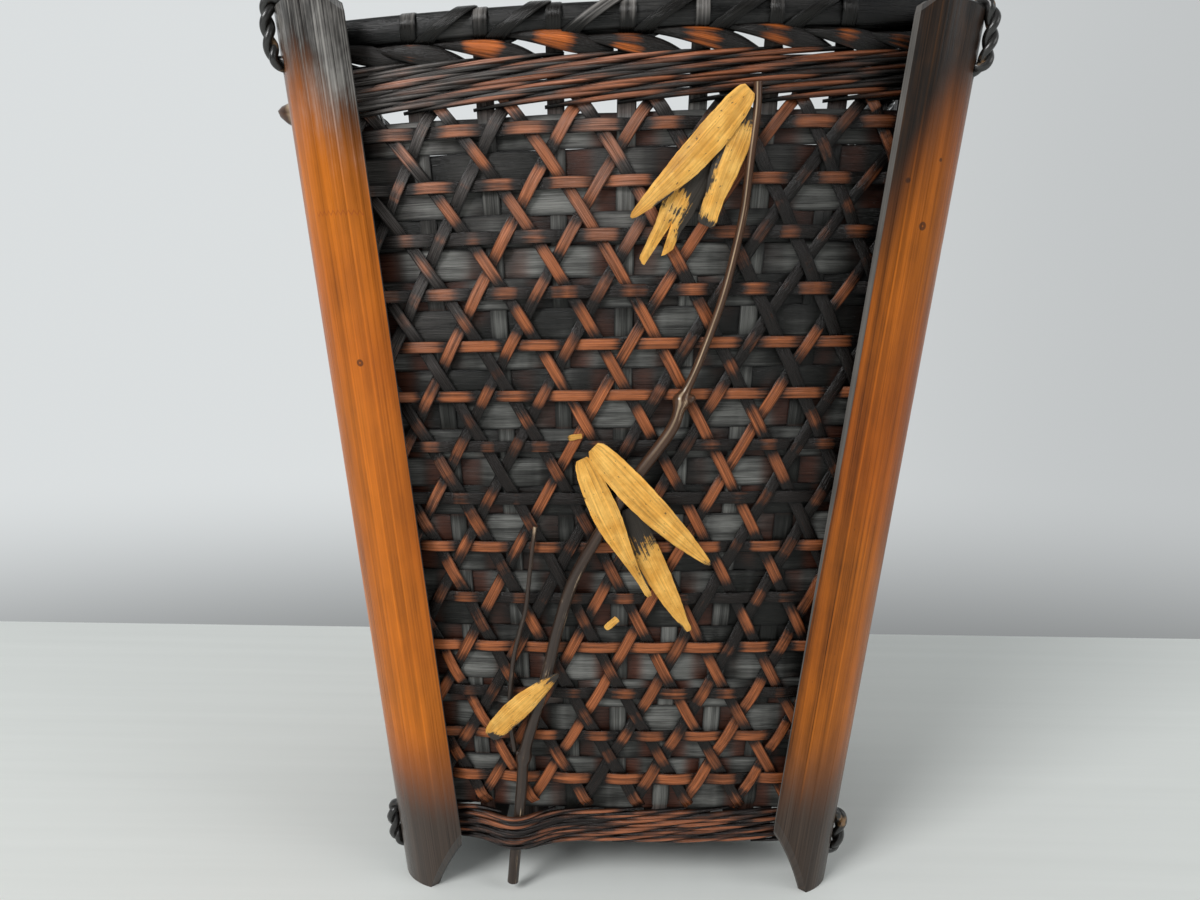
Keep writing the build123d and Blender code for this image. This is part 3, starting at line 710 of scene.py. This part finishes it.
def lay_float(weave, number, share):
    """Short lengths of splint that pass over one stake each and dip under their neighbours."""
    given = weave.given
    row = (number / FLOATS_IN_ROW + 0.001).floor()
    place = number - row * FLOATS_IN_ROW - (FLOATS_IN_ROW - 1.0) / 2
    inner = place.within(-3.0, 3.0)
    across = share * 2.0 - 1.0
    shift = (row * 0.5 - (row * 0.5 + 0.001).floor()) * given["Stagger"]
    x = inner * given["Pitch"] + (place - inner) * CORNER_FLOAT_PITCH
    x = x + across * given["Length"] * 0.5 + shift * given["Pitch"]
    z = given["Low"] + (row + 0.5) * given["Row_Height"] + across * given["Rise"] * 0.5
    z = z + weave.chance(-0.2, 0.2, 12) * given["Row_Height"]
    swell = 1.0 - across * across
    off_twig = x - given["Bump_Place"]
    near_twig = (off_twig * off_twig * -0.011).math("EXPONENT")
    over = near_twig * given["Bump"] * (weave.side < 0.5)
    z = z - over * 0.3
    out = given["Out"] + swell * given["Bulge"] + over
    lobe = (share ** given["Skew"] * math.pi).sin()
    width = given["Width"] * (lobe * given["Taper"] + (1.0 - given["Taper"])) + weave.chance(-0.1, 0.1, 13)
    return Line(x, z, out, width, given["Thick"], swell * swell, run=34.0)


# Path of a strap round the rim: half turns that it makes and starts before level, its reach and its middle
STRAP_TURNS, STRAP_START = 1.84, 0.42
STRAP_REACH_OUT, STRAP_REACH_UP = 3.9, 4.1
STRAP_MIDDLE_OUT, STRAP_MIDDLE = -2.9, RIM_MIDDLE - 0.2


def lay_strap(weave, number, share):
    """Straps that go up outside the rim, over it and down inside."""
    given = weave.given
    turn = (share * STRAP_TURNS - STRAP_START) * math.pi
    swing = share.step(0.0, 0.42) - share.step(0.58, 1.0)
    x = (number - given["Middle"]) * given["Pitch"] + (swing - 0.5) * given["Slant"]
    cos, sin = turn.cos(), turn.sin()
    out = cos * (STRAP_REACH_OUT + given["Layer"]) + STRAP_MIDDLE_OUT
    z = sin * (STRAP_REACH_UP + given["Layer"]) + STRAP_MIDDLE
    width = given["Width"] + weave.chance(-0.4, 0.4, 15)
    return Line(x, z, out, width, given["Thick"], sin * 0.5 + 0.5, (1.0, 0.0), (cos, sin), 24.0)


def lay_hoop(weave, number, share):
    given = weave.given
    x = (share * 2.0 - 1.0) * corner_reach(RIM_MIDDLE)
    return Line(x, RIM_MIDDLE, given["Out"], given["Width"], given["Thick"], 0.6)


LATTICE = {
    "Top": 238.9, "Row_Pitch": 15.3, "Pitch": 16.5, "Spread": 2.8, "Phase": 0.106,
    "Width": 3.6, "Thick": 0.5, "Wave": 0.5,
}
FALLING = {"Hand": -1.0, "First": -10.0, "Phase": 0.606}
LINER = {"Thick": 0.7, "Wave": 0.42}
LINER_WEAVERS = 24

rows = Weave("lattice_rows", lay_row, FLAT, Strips=14, Segments=110, **LATTICE)
slanted = Weave("lattice_slanted", lay_slanted, FLAT, Strips=14, Segments=96, **LATTICE, Hand=1.0, First=-4.0)
weavers = Weave("liner_weavers", lay_weaver, FLAT, Strips=LINER_WEAVERS, Segments=80, **LINER)
stakes = Weave(
    "liner_stakes", lay_stake, FLAT, Strips=7, Segments=150, Weavers=float(LINER_WEAVERS), Width=5.2, **LINER
)
floats = Weave(
    "twined_floats", lay_float, DOMED, Strips=54, Segments=20, Sides=4, Low=LOWER_TWINING_LOW,
    Row_Height=1.85, Pitch=20.3, Length=38.0, Rise=2.6, Width=2.3, Taper=0.5, Bulge=1.5, Out=-2.2,
    Thick=0.7, Stagger=1.0, Skew=1.0, Bump=0.0, Bump_Place=0.0,
)
straps = Weave(
    "rim_straps", lay_strap, FLAT, Strips=7, Segments=28, Sides=4, Pitch=20.4, Middle=3.0, Slant=0.0,
    Layer=0.0, Width=4.3, Thick=0.5,
)
hoops = Weave("rim_hoops", lay_hoop, ROUND, Strips=1, Segments=90, Sides=4, Out=0.0, Width=7.4, Thick=3.2)

for side, turn in SIDES.items():
    turned = math.radians(turn)
    seed = int(turn) + 5
    for weave, kind, word, finish, sizes in (
        (rows, "lattice", "rows", lattice_finish, {"Seed": seed}),
        (slanted, "lattice", "rising", lattice_finish, {"Seed": seed + 1}),
        (slanted, "lattice", "falling", lattice_finish, {"Seed": seed + 2, **FALLING}),
        (weavers, "liner", "weavers", liner_finish, {"Seed": seed}),
        (stakes, "liner", "stakes", liner_finish, {"Seed": seed}),
    ):
        nodes = [f"{kind}_{word}_{side}"]
        weave.make(f"woven_{word}_{side}", f"{kind}_strip", finish, nodes, Turn=turned, **sizes)

floats.make(
    "twined_band_upper", "rim_splint", twining_finish, ["upper_twining"], Strips=63,
    Low=UPPER_TWINING_LOW, Row_Height=1.65, Length=46.0, Rise=3.6, Width=1.6, Taper=0.4, Bulge=2.0,
    Thick=1.0, Seed=31,
)
floats.make(
    "twined_band_lower", "rim_splint", lower_finish, ["lower_twining"], Strips=72,
    Row_Height=1.35, Pitch=14.1, Length=31.0, Rise=2.4, Width=1.5, Bulge=1.4, Thick=1.0,
    Bump=4.6, Bump_Place=-32.4, Seed=32,
)
floats.make(
    "rope_row", "rim_splint", twist_finish, ["twist_row"], Strips=9, Low=TWIST_ROW_LOW, Row_Height=6.3,
    Length=33.0, Rise=-5.6, Width=5.6, Taper=0.8, Skew=1.7, Bulge=2.6, Out=-2.4, Thick=1.0,
    Stagger=0.0, Seed=33,
)
hoops.make("rim_hoop_outer", "rim_splint", rim_finish, ["rim_outer_hoop"], Out=-1.3)
hoops.make("rim_hoop_inner", "rim_splint", rim_finish, ["rim_inner_hoop"], Out=-4.9)
straps.make("rim_straps_upright", "rim_splint", strap_finish, ["rim_straps"], Layer=0.2, Seed=41)
straps.make(
    "rim_straps_slanted", "rim_splint", strap_finish, ["rim_lashing"], Strips=6, Middle=2.5, Slant=12.5,
    Layer=0.75, Width=6.2, Seed=42,
)


# Twig, leaves, ties and peg


def front(x, z, out):
    """Point in front of the front side, in metres."""
    return Vector((x, BOW * x * x - SIDE_REACH - SIDE_LEAN * z - out, z)) * MM


def smooth_line(points, steps):
    """Points of a smooth curve through the given ones."""
    ends = [points[0] * 2 - points[1], *points, points[-1] * 2 - points[-2]]
    line = []
    for i in range(1, len(ends) - 2):
        a, b, c, d = ends[i - 1 : i + 3]
        for k in range(steps):
            t = k / steps
            bend = (2 * a - 5 * b + 4 * c - d) * t * t
            twist = (3 * b - 3 * c + d - a) * t * t * t
            line.append(0.5 * (2 * b + (c - a) * t + bend + twist))
    return [*line, points[-1].copy()]


def float_layers(work, *words):
    """Layers that keep one number for each point, made where they are missing."""
    kept = work.verts.layers.float
    return [kept.get(word) or kept.new(word) for word in words]


def add_tube(work, line, radii, sides):
    """Adds a closed tube along a line and returns its frames; radii are in metres."""
    along, across = float_layers(work, "along", "across")
    frames = []
    normal = None
    for i, point in enumerate(line):
        ahead = line[min(i + 1, len(line) - 1)] - line[max(i - 1, 0)]
        ahead.normalize()
        if normal is None:
            normal = ahead.orthogonal().normalized()
        normal = (normal - ahead * normal.dot(ahead)).normalized()
        frames.append((point, normal.copy(), ahead.cross(normal)))
    rings = []
    length = 0.0
    for i, (point, u, v) in enumerate(frames):
        if i:
            length += (point - line[i - 1]).length
        ring = []
        for k in range(sides):
            angle = 2 * math.pi * k / sides
            vert = work.verts.new(point + (u * math.cos(angle) + v * math.sin(angle)) * radii[i])
            vert[along] = length / MM
            vert[across] = math.cos(angle)
            ring.append(vert)
        rings.append(ring)
    for low, high in zip(rings, rings[1:]):
        for k in range(sides):
            work.faces.new((low[k], low[k - 1], high[k - 1], high[k]))
    work.faces.new(rings[0])
    work.faces.new(rings[-1][::-1])
    return frames


def close_work(work, name, material, nodes, angle=40.0):
    """Makes a finished piece from the faces worked so far."""
    mesh = bpy.data.meshes.new(name)
    work.to_mesh(mesh)
    work.free()
    mesh.materials.append(material)
    finish_piece(mesh, name, nodes, angle=angle)


# Line of the twig on the front: place and height
STEM_LINE = [
    (-33.6, 3.0), (-32.5, 16.1), (-31.4, 27.2), (-30.4, 37.7), (-29.7, 47.5), (-26.1, 61.6), (-22.3, 75.4),
    (-18.9, 90.5), (-14.0, 106.3), (-6.5, 120.5), (4.0, 137.5), (14.4, 152.4), (17.4, 161.3), (22.3, 173.0),
    (28.1, 190.1), (31.8, 205.8), (33.7, 216.7), (34.8, 229.4), (36.0, 241.8), (36.0, 249.0),
]
STEM_OUT = 2.0
STEM_RADIUS, STEM_THINNING = 1.8, 0.6
THINNING_FROM, THINNING_OVER = 154.0, 14.0
KNOT_REACH = 1.9
# How far the twig goes in behind the lower band, at which height and over which height
STEM_IN, STEM_IN_HEIGHT, STEM_IN_REACH = 1.2, 22.0, 10.0
# Height of each knot, how far it swells and the bud on it: run, rise and thickness
STEM_KNOTS = ((47.5, 0.8, (-2.4, 1.6, 1.4)), (161.0, 1.3, (3.9, 0.6, 1.8)))


def stem_radius(z):
    """The twig swells at its knots, and is thinner above the upper one."""
    thinner = min(1.0, max(0.0, (z - THINNING_FROM) / THINNING_OVER))
    swell = sum(size * math.exp(-(((z - knot) / KNOT_REACH) ** 2)) for knot, size, _ in STEM_KNOTS)
    return (STEM_RADIUS - STEM_THINNING * thinner + swell) * MM


def stem_out(z):
    """The twig lies on the lattice, and goes in behind the lower band."""
    return STEM_OUT - STEM_IN * math.exp(-(((z - STEM_IN_HEIGHT) / STEM_IN_REACH) ** 4))


work = bmesh.new()
stem = smooth_line([front(x, z, stem_out(z)) for x, z in STEM_LINE], 12)
add_tube(work, stem, [stem_radius(point.z / MM) for point in stem], 16)
for knot, _, (run, rise, thick) in STEM_KNOTS:
    base = min(stem, key=lambda point: abs(point.z / MM - knot))
    bud = [base + Vector((run * t, -0.5 * t, rise * t)) * MM for t in (0.0, 0.4, 0.7, 0.9, 1.0)]
    add_tube(work, bud, [thick * share * MM for share in (1.0, 0.95, 0.8, 0.55, 0.2)], 10)
close_work(work, "twig_main", twig_material, ["branch_stem"])

SIDE_TWIG_OUT = 1.45
SIDE_TWIG_LINE = [
    (-32.6, 49.0), (-33.9, 57.0), (-34.1, 65.1), (-33.0, 78.8), (-31.0, 88.1), (-28.8, 96.9),
    (-27.2, 111.9), (-25.9, 122.3),
]
work = bmesh.new()
twig = smooth_line([front(x, z, SIDE_TWIG_OUT) for x, z in SIDE_TWIG_LINE], 8)
add_tube(work, twig, [(0.85 - 0.25 * i / len(twig)) * MM for i in range(len(twig))], 10)
close_work(work, "twig_side", twig_material, ["branch_side_twig"])


# Half width of a blade along its length, as shares
BLADE = (
    (0.0, 0.42), (0.03, 0.66), (0.12, 0.86), (0.34, 1.0), (0.55, 0.92),
    (0.75, 0.68), (0.90, 0.40), (0.97, 0.24), (1.0, 0.10),
)


class Leaf:
    """A dried blade on the front: root, tip, width, distance out, bend, split or blunt tip, and stains.

    Each stain is a soft spot: place along, place across, reach along, reach across and strength.
    """

    def __init__(
        self, root, tip, width, out, bend=0.0, fork=0.0, blunt=0.0, tail=0.0, turned=False, stains=()
    ):
        self.root, self.tip = Vector(root), Vector(tip)
        self.width, self.out, self.bend = width, out, bend
        self.fork, self.blunt, self.tail, self.turned, self.stains = fork, blunt, tail, turned, stains

    def half_width(self, t):
        """Half the blade's width.

        A turned blade has its narrow end at the root, a blunt one ends wide, and a tailed one thin.
        """
        place = 1.0 - t if self.turned else t
        share = BLADE[-1][1]
        for (a, low), (b, high) in zip(BLADE, BLADE[1:]):
            if a <= place <= b:
                share = low + (high - low) * (place - a) / (b - a)
        if t > 0.34:
            share = max(share, self.blunt * min(1.0, (1.02 - t) / 0.05) ** 0.5)
        return self.width / 2 * share * (1.0 - self.tail * min(1.0, max(0.0, (t - 0.45) / 0.3)))

    def stain(self, t, v):
        total = 0.0
        for along, across, reach_along, reach_across, strength in self.stains:
            far = ((t - along) / reach_along) ** 2 + ((v - across) / reach_across) ** 2
            total += strength * math.exp(-far)
        return total


LEAVES = {
    "leaf_top_long": [
        Leaf(
            (33.6, 246.8), (1.6, 212.3), 8.8, 3.6, 1.3,
            stains=((1.0, 0.0, 0.05, 1.2, 0.55), (0.80, 1.0, 0.12, 0.4, 0.8)),
        ),
    ],
    "leaf_top_right": [
        Leaf(
            (34.2, 242.5), (22.6, 210.6), 8.4, 2.4, -0.6, blunt=0.66,
            stains=((0.45, -1.0, 0.4, 0.5, 0.9), (0.06, 0.0, 0.12, 2.0, 0.9), (1.0, 0.0, 0.07, 2.0, 0.8)),
        ),
    ],
    "leaf_top_under": [
        Leaf(
            (24.5, 234.0), (7.0, 199.0), 10.2, 1.2, -0.4, 0.9, 0.74,
            stains=((0.22, 0.0, 0.26, 2.0, 1.1), (0.58, 1.0, 0.30, 0.45, 0.9), (0.72, -0.1, 0.12, 0.3, 0.5)),
        ),
    ],
    "leaf_middle_right": [
        Leaf(
            (-8.4, 147.2), (26.9, 112.0), 9.2, 5.3, -0.6,
            stains=((0.40, -0.5, 0.05, 0.3, 0.42), (1.0, 0.0, 0.05, 2.0, 0.7), (0.0, -0.7, 0.05, 0.6, 0.5)),
        ),
    ],
    "leaf_middle_left": [
        Leaf(
            (-11.8, 143.6), (9.0, 101.7), 8.4, 4.3, -0.9, tail=0.4, blunt=0.42,
            stains=((0.80, 0.6, 0.07, 0.7, 0.6), (0.0, 0.4, 0.05, 0.8, 0.5), (1.0, 0.0, 0.03, 2.0, 0.6)),
        ),
        Leaf((-16.2, 149.4), (-11.9, 150.2), 1.8, 0.1, blunt=0.8, stains=((0.0, 0.0, 0.3, 2.0, 0.6),)),
        Leaf((-4.3, 90.2), (-0.6, 93.6), 2.3, 0.7, blunt=0.95),
    ],
    "leaf_middle_under": [
        Leaf(
            (2.0, 128.5), (21.4, 90.0), 8.2, 1.6, -0.8, blunt=0.34,
            stains=((0.10, -0.2, 0.24, 2.0, 1.1), (0.97, -0.9, 0.07, 0.6, 0.7)),
        ),
    ],
    "leaf_low": [
        Leaf(
            (-18.6, 76.4), (-40.4, 54.8), 7.4, 4.6, -0.6, turned=True,
            stains=((0.99, 0.3, 0.08, 1.2, 0.9), (0.05, 0.0, 0.16, 2.0, 0.8), (0.72, 0.95, 0.2, 0.35, 0.6)),
        ),
    ],
}


LEAF_SEED = 100
BLADE_THICK, BLADE_CUP, BLADE_ARCH = 0.3, 0.8, 0.5


def add_blade(work, leaf, seed):
    """Adds a thin closed blade, cupped across and arched along; its points keep grain, stain and tone."""
    chance = random.Random(seed)
    words = ("along", "across", "tone", "raised")
    layers = dict(zip(words, float_layers(work, *words)))
    way = leaf.tip - leaf.root
    length = way.length
    way.normalize()
    side = Vector((-way.y, way.x))
    tone = chance.random()
    long_steps, cross_steps = 40, 12
    wander = [chance.uniform(-0.06, 0.06) * leaf.width / 9.0 for _ in range(long_steps + 1)]
    arch = min(1.0, length / 30.0)
    verts = {}
    for layer in (0, 1):
        for i in range(long_steps + 1):
            t = i / long_steps
            half = leaf.half_width(t) + wander[i]
            for k in range(cross_steps + 1):
                v = 2 * k / cross_steps - 1
                split = leaf.fork * max(0.0, t - 0.62) * (max(0.0, 1 - abs(v) * 1.5) + 0.5 * max(0.0, v))
                bow = leaf.bend * math.sin(math.pi * t)
                flat = leaf.root + way * (t - split) * length + side * (v * half + bow)
                cup = BLADE_CUP * (1 - v * v) * math.sin(math.pi * min(1.0, t * 1.1))
                lift = cup + BLADE_ARCH * math.sin(math.pi * t)
                out = leaf.out + lift * arch - BLADE_THICK * layer * (1 - v**8)
                vert = work.verts.new(front(flat.x, flat.y, out))
                vert[layers["along"]] = t * length
                vert[layers["across"]] = v
                vert[layers["tone"]] = tone
                vert[layers["raised"]] = leaf.stain(t, v) + 0.12 * abs(v) ** 6
                verts[layer, i, k] = vert
    for i in range(long_steps):
        for k in range(cross_steps):
            corners = [(i, k), (i + 1, k), (i + 1, k + 1), (i, k + 1)]
            work.faces.new([verts[0, a, b] for a, b in corners])
            work.faces.new([verts[1, a, b] for a, b in corners[::-1]])
    rim = [(i, 0) for i in range(long_steps)] + [(long_steps, k) for k in range(cross_steps)]
    rim += [(i, cross_steps) for i in range(long_steps, 0, -1)] + [(0, k) for k in range(cross_steps, 0, -1)]
    for (a, b), (c, d) in zip(rim, rim[1:] + rim[:1]):
        work.faces.new((verts[0, c, d], verts[0, a, b], verts[1, a, b], verts[1, c, d]))


for i, (name, blades) in enumerate(LEAVES.items()):
    work = bmesh.new()
    for k, leaf in enumerate(blades):
        add_blade(work, leaf, LEAF_SEED + i * 10 + k)
    close_work(work, name.replace("leaf", "blade"), leaf_material, [name], 60.0)


def post_point(signs, angle, distance, height):
    """Point at a distance from a post's axis, turned by the angle from the X axis, in metres."""
    centre = POST_LOW + POST_SLOPE * height
    turn = math.radians(angle)
    x = signs[0] * (centre + distance * math.cos(turn))
    y = signs[1] * (centre + distance * math.sin(turn))
    return Vector((x, y, height)) * MM


# Ties: radius of a strand, its distance from the middle and the length of a turn
TIE_STRAND, TIE_GAP, TIE_TWIST = 1.25, 0.95, 11.0

# Route of each tie: distance from the axis of the post and height, at an angle round the post
LOW_TIE_ANGLE, HIGH_TIE_ANGLE = 7, 25
LOW_TIE = ((14.5, 22), (17.5, 22.3), (20, 20.4), (20.1, 15.5), (20, 10.6), (17.5, 9), (9, 9.2))
HIGH_TIE = (
    (9, 255), (15, 255.2), (19.6, 256), (20.4, 260), (20.3, 267), (19, 271.3), (16, 272.4), (10, 272.3),
)


def make_tie(name, node, route):
    """Two strands of cane twisted round each other along a route."""
    work = bmesh.new()
    line = smooth_line(route, 14)
    guide = bmesh.new()
    frames = add_tube(guide, line, [MM] * len(line), 6)
    guide.free()
    length = 0.0
    strands = ([], [])
    for i, (point, u, v) in enumerate(frames):
        if i:
            length += (point - frames[i - 1][0]).length
        for k, strand in enumerate(strands):
            angle = length / MM * 2 * math.pi / TIE_TWIST + math.pi * k
            strand.append(point + (u * math.cos(angle) + v * math.sin(angle)) * TIE_GAP * MM)
    for strand in strands:
        add_tube(work, strand, [TIE_STRAND * MM] * len(strand), 9)
    close_work(work, name, cane_material, [node], 60.0)


for corner, signs in CORNERS.items():
    for word, node, angle, route in (
        ("low", "bottom_tie", LOW_TIE_ANGLE, LOW_TIE),
        ("high", "top_tie", HIGH_TIE_ANGLE, HIGH_TIE),
    ):
        points = [post_point(signs, angle, distance, height) for distance, height in route]
        make_tie(f"cane_{word}_{corner}", f"{node}_{corner}", points)

# Peg: place, height and radius along it
PEG_DEPTH = -70.0
PEG = (
    (-90.8, 247.0, 4.35), (-98, 247.0, 4.35), (-101, 247.2, 4.0),
    (-103.5, 247.5, 3.1), (-105.6, 247.9, 1.8), (-106.8, 248.2, 0.3),
)
work = bmesh.new()
peg = [Vector((x, PEG_DEPTH, z)) * MM for x, z, _ in PEG]
add_tube(work, peg, [radius * MM for _, _, radius in PEG], 14)
close_work(work, "peg_blunt", twig_material, ["side_peg"])

# CAD pieces that keep their shape
for name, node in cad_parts.items():
    kept = None
    if name.startswith("post_"):
        kept = post_material
    elif name == "water_tube":
        kept = tube_material
    elif name.startswith("base_strips"):
        kept = base_material
    if kept:
        node.data.materials.clear()
        node.data.materials.append(kept)

# Floor, light and camera
TABLE_BACK, TABLE_REACH = 0.229, 4.0
floor_finish = Finish("pale_table", Roughness=0.75)
x, y, _ = floor_finish.place()
wood = floor_finish.noise(x * 0.004, y * 0.09, 1.0, 4.0, 0.6)
floor_finish.set("Base Color", floor_finish.mix(wood, (0.80, 0.825, 0.800, 1), (0.88, 0.905, 0.880, 1)))
mesh = bpy.data.meshes.new("table")
table_corners = [(x, y, 0.0) for y in (-TABLE_REACH, TABLE_BACK) for x in (-TABLE_REACH, TABLE_REACH)]
mesh.from_pydata(table_corners, [], [(0, 1, 3, 2)])
mesh.materials.append(floor_finish.material)
table = bpy.data.objects.new("table", mesh)
bpy.context.scene.collection.objects.link(table)

# Brightness of the sky as light, and as it is seen behind the front and behind the back
SKY_LIGHT, SKY_BACK, SKY_FRONT = 0.42, 0.74, 0.25
world = bpy.data.worlds.new("studio")
bpy.context.scene.world = world
world.use_nodes = True
sky = Nodes(world.node_tree)
rays = {wire.socket.name: wire for wire in sky.add("ShaderNodeLightPath")}
seen = (rays["Is Camera Ray"] + rays["Is Glossy Ray"] + rays["Is Transmission Ray"]).at_most(1.0)
ahead_x, ahead_y, ahead_z = sky.add("ShaderNodeSeparateXYZ", None, {0: sky.add("ShaderNodeTexCoord")[0]})
wall = (ahead_z.step(-0.32, -0.10) * 0.64 + 0.36) * (1.0 - ahead_x.step(-0.1, 0.6) * 0.25) * SKY_BACK
pale = ahead_y.step(-0.5, 0.4) * (wall - SKY_FRONT) + SKY_FRONT
background = world.node_tree.nodes["Background"]
background.inputs["Color"].default_value = (0.955, 0.990, 1.0, 1)
world.node_tree.links.new((seen * (pale - SKY_LIGHT) + SKY_LIGHT).socket, background.inputs["Strength"])


def add_lamp(name, place, target, size, power):
    lamp = bpy.data.lights.new(name, "AREA")
    lamp.shape = "DISK"
    lamp.size = size
    lamp.energy = power
    holder = bpy.data.objects.new(name, lamp)
    bpy.context.scene.collection.objects.link(holder)
    holder.location = place
    holder.rotation_euler = (Vector(target) - Vector(place)).to_track_quat("-Z", "Y").to_euler()


LAMP_TARGET, LAMP_SIZE = (0.0, 0.0, 0.14), 0.9
add_lamp("key", (-1.1, -1.5, 1.25), LAMP_TARGET, LAMP_SIZE, 30.0)
add_lamp("fill", (1.3, -0.9, 0.8), LAMP_TARGET, LAMP_SIZE, 5.0)

# Camera, as fitted to the photo: place in millimetres, angles in radians, focal length and width in pixels
CAMERA_PLACE = (-3.347, -343.75, 166.405)
PITCH, YAW, ROLL = 0.0786, -0.0122, 0.0113
FOCAL_PIXELS, WIDTH_PIXELS = 870.0, 1200.0
SENSOR = 36.0

camera = bpy.data.objects.new("camera", bpy.data.cameras.new("camera"))
bpy.context.scene.collection.objects.link(camera)
bpy.context.scene.camera = camera
camera.data.sensor_width = SENSOR
camera.data.lens = SENSOR * FOCAL_PIXELS / WIDTH_PIXELS
camera.data.clip_start = 0.01
ahead = Vector((math.sin(YAW) * math.cos(PITCH), math.cos(YAW) * math.cos(PITCH), -math.sin(PITCH)))
right = Vector((math.cos(YAW), -math.sin(YAW), 0.0))
up = right.cross(ahead)
turned_right = right * math.cos(ROLL) + up * math.sin(ROLL)
turned_up = up * math.cos(ROLL) - right * math.sin(ROLL)
axes = Matrix((turned_right, turned_up, -ahead)).transposed()
camera.matrix_world = Matrix.Translation(Vector(CAMERA_PLACE) * MM) @ axes.to_4x4()

bpy.context.scene.view_settings.view_transform = "Standard"
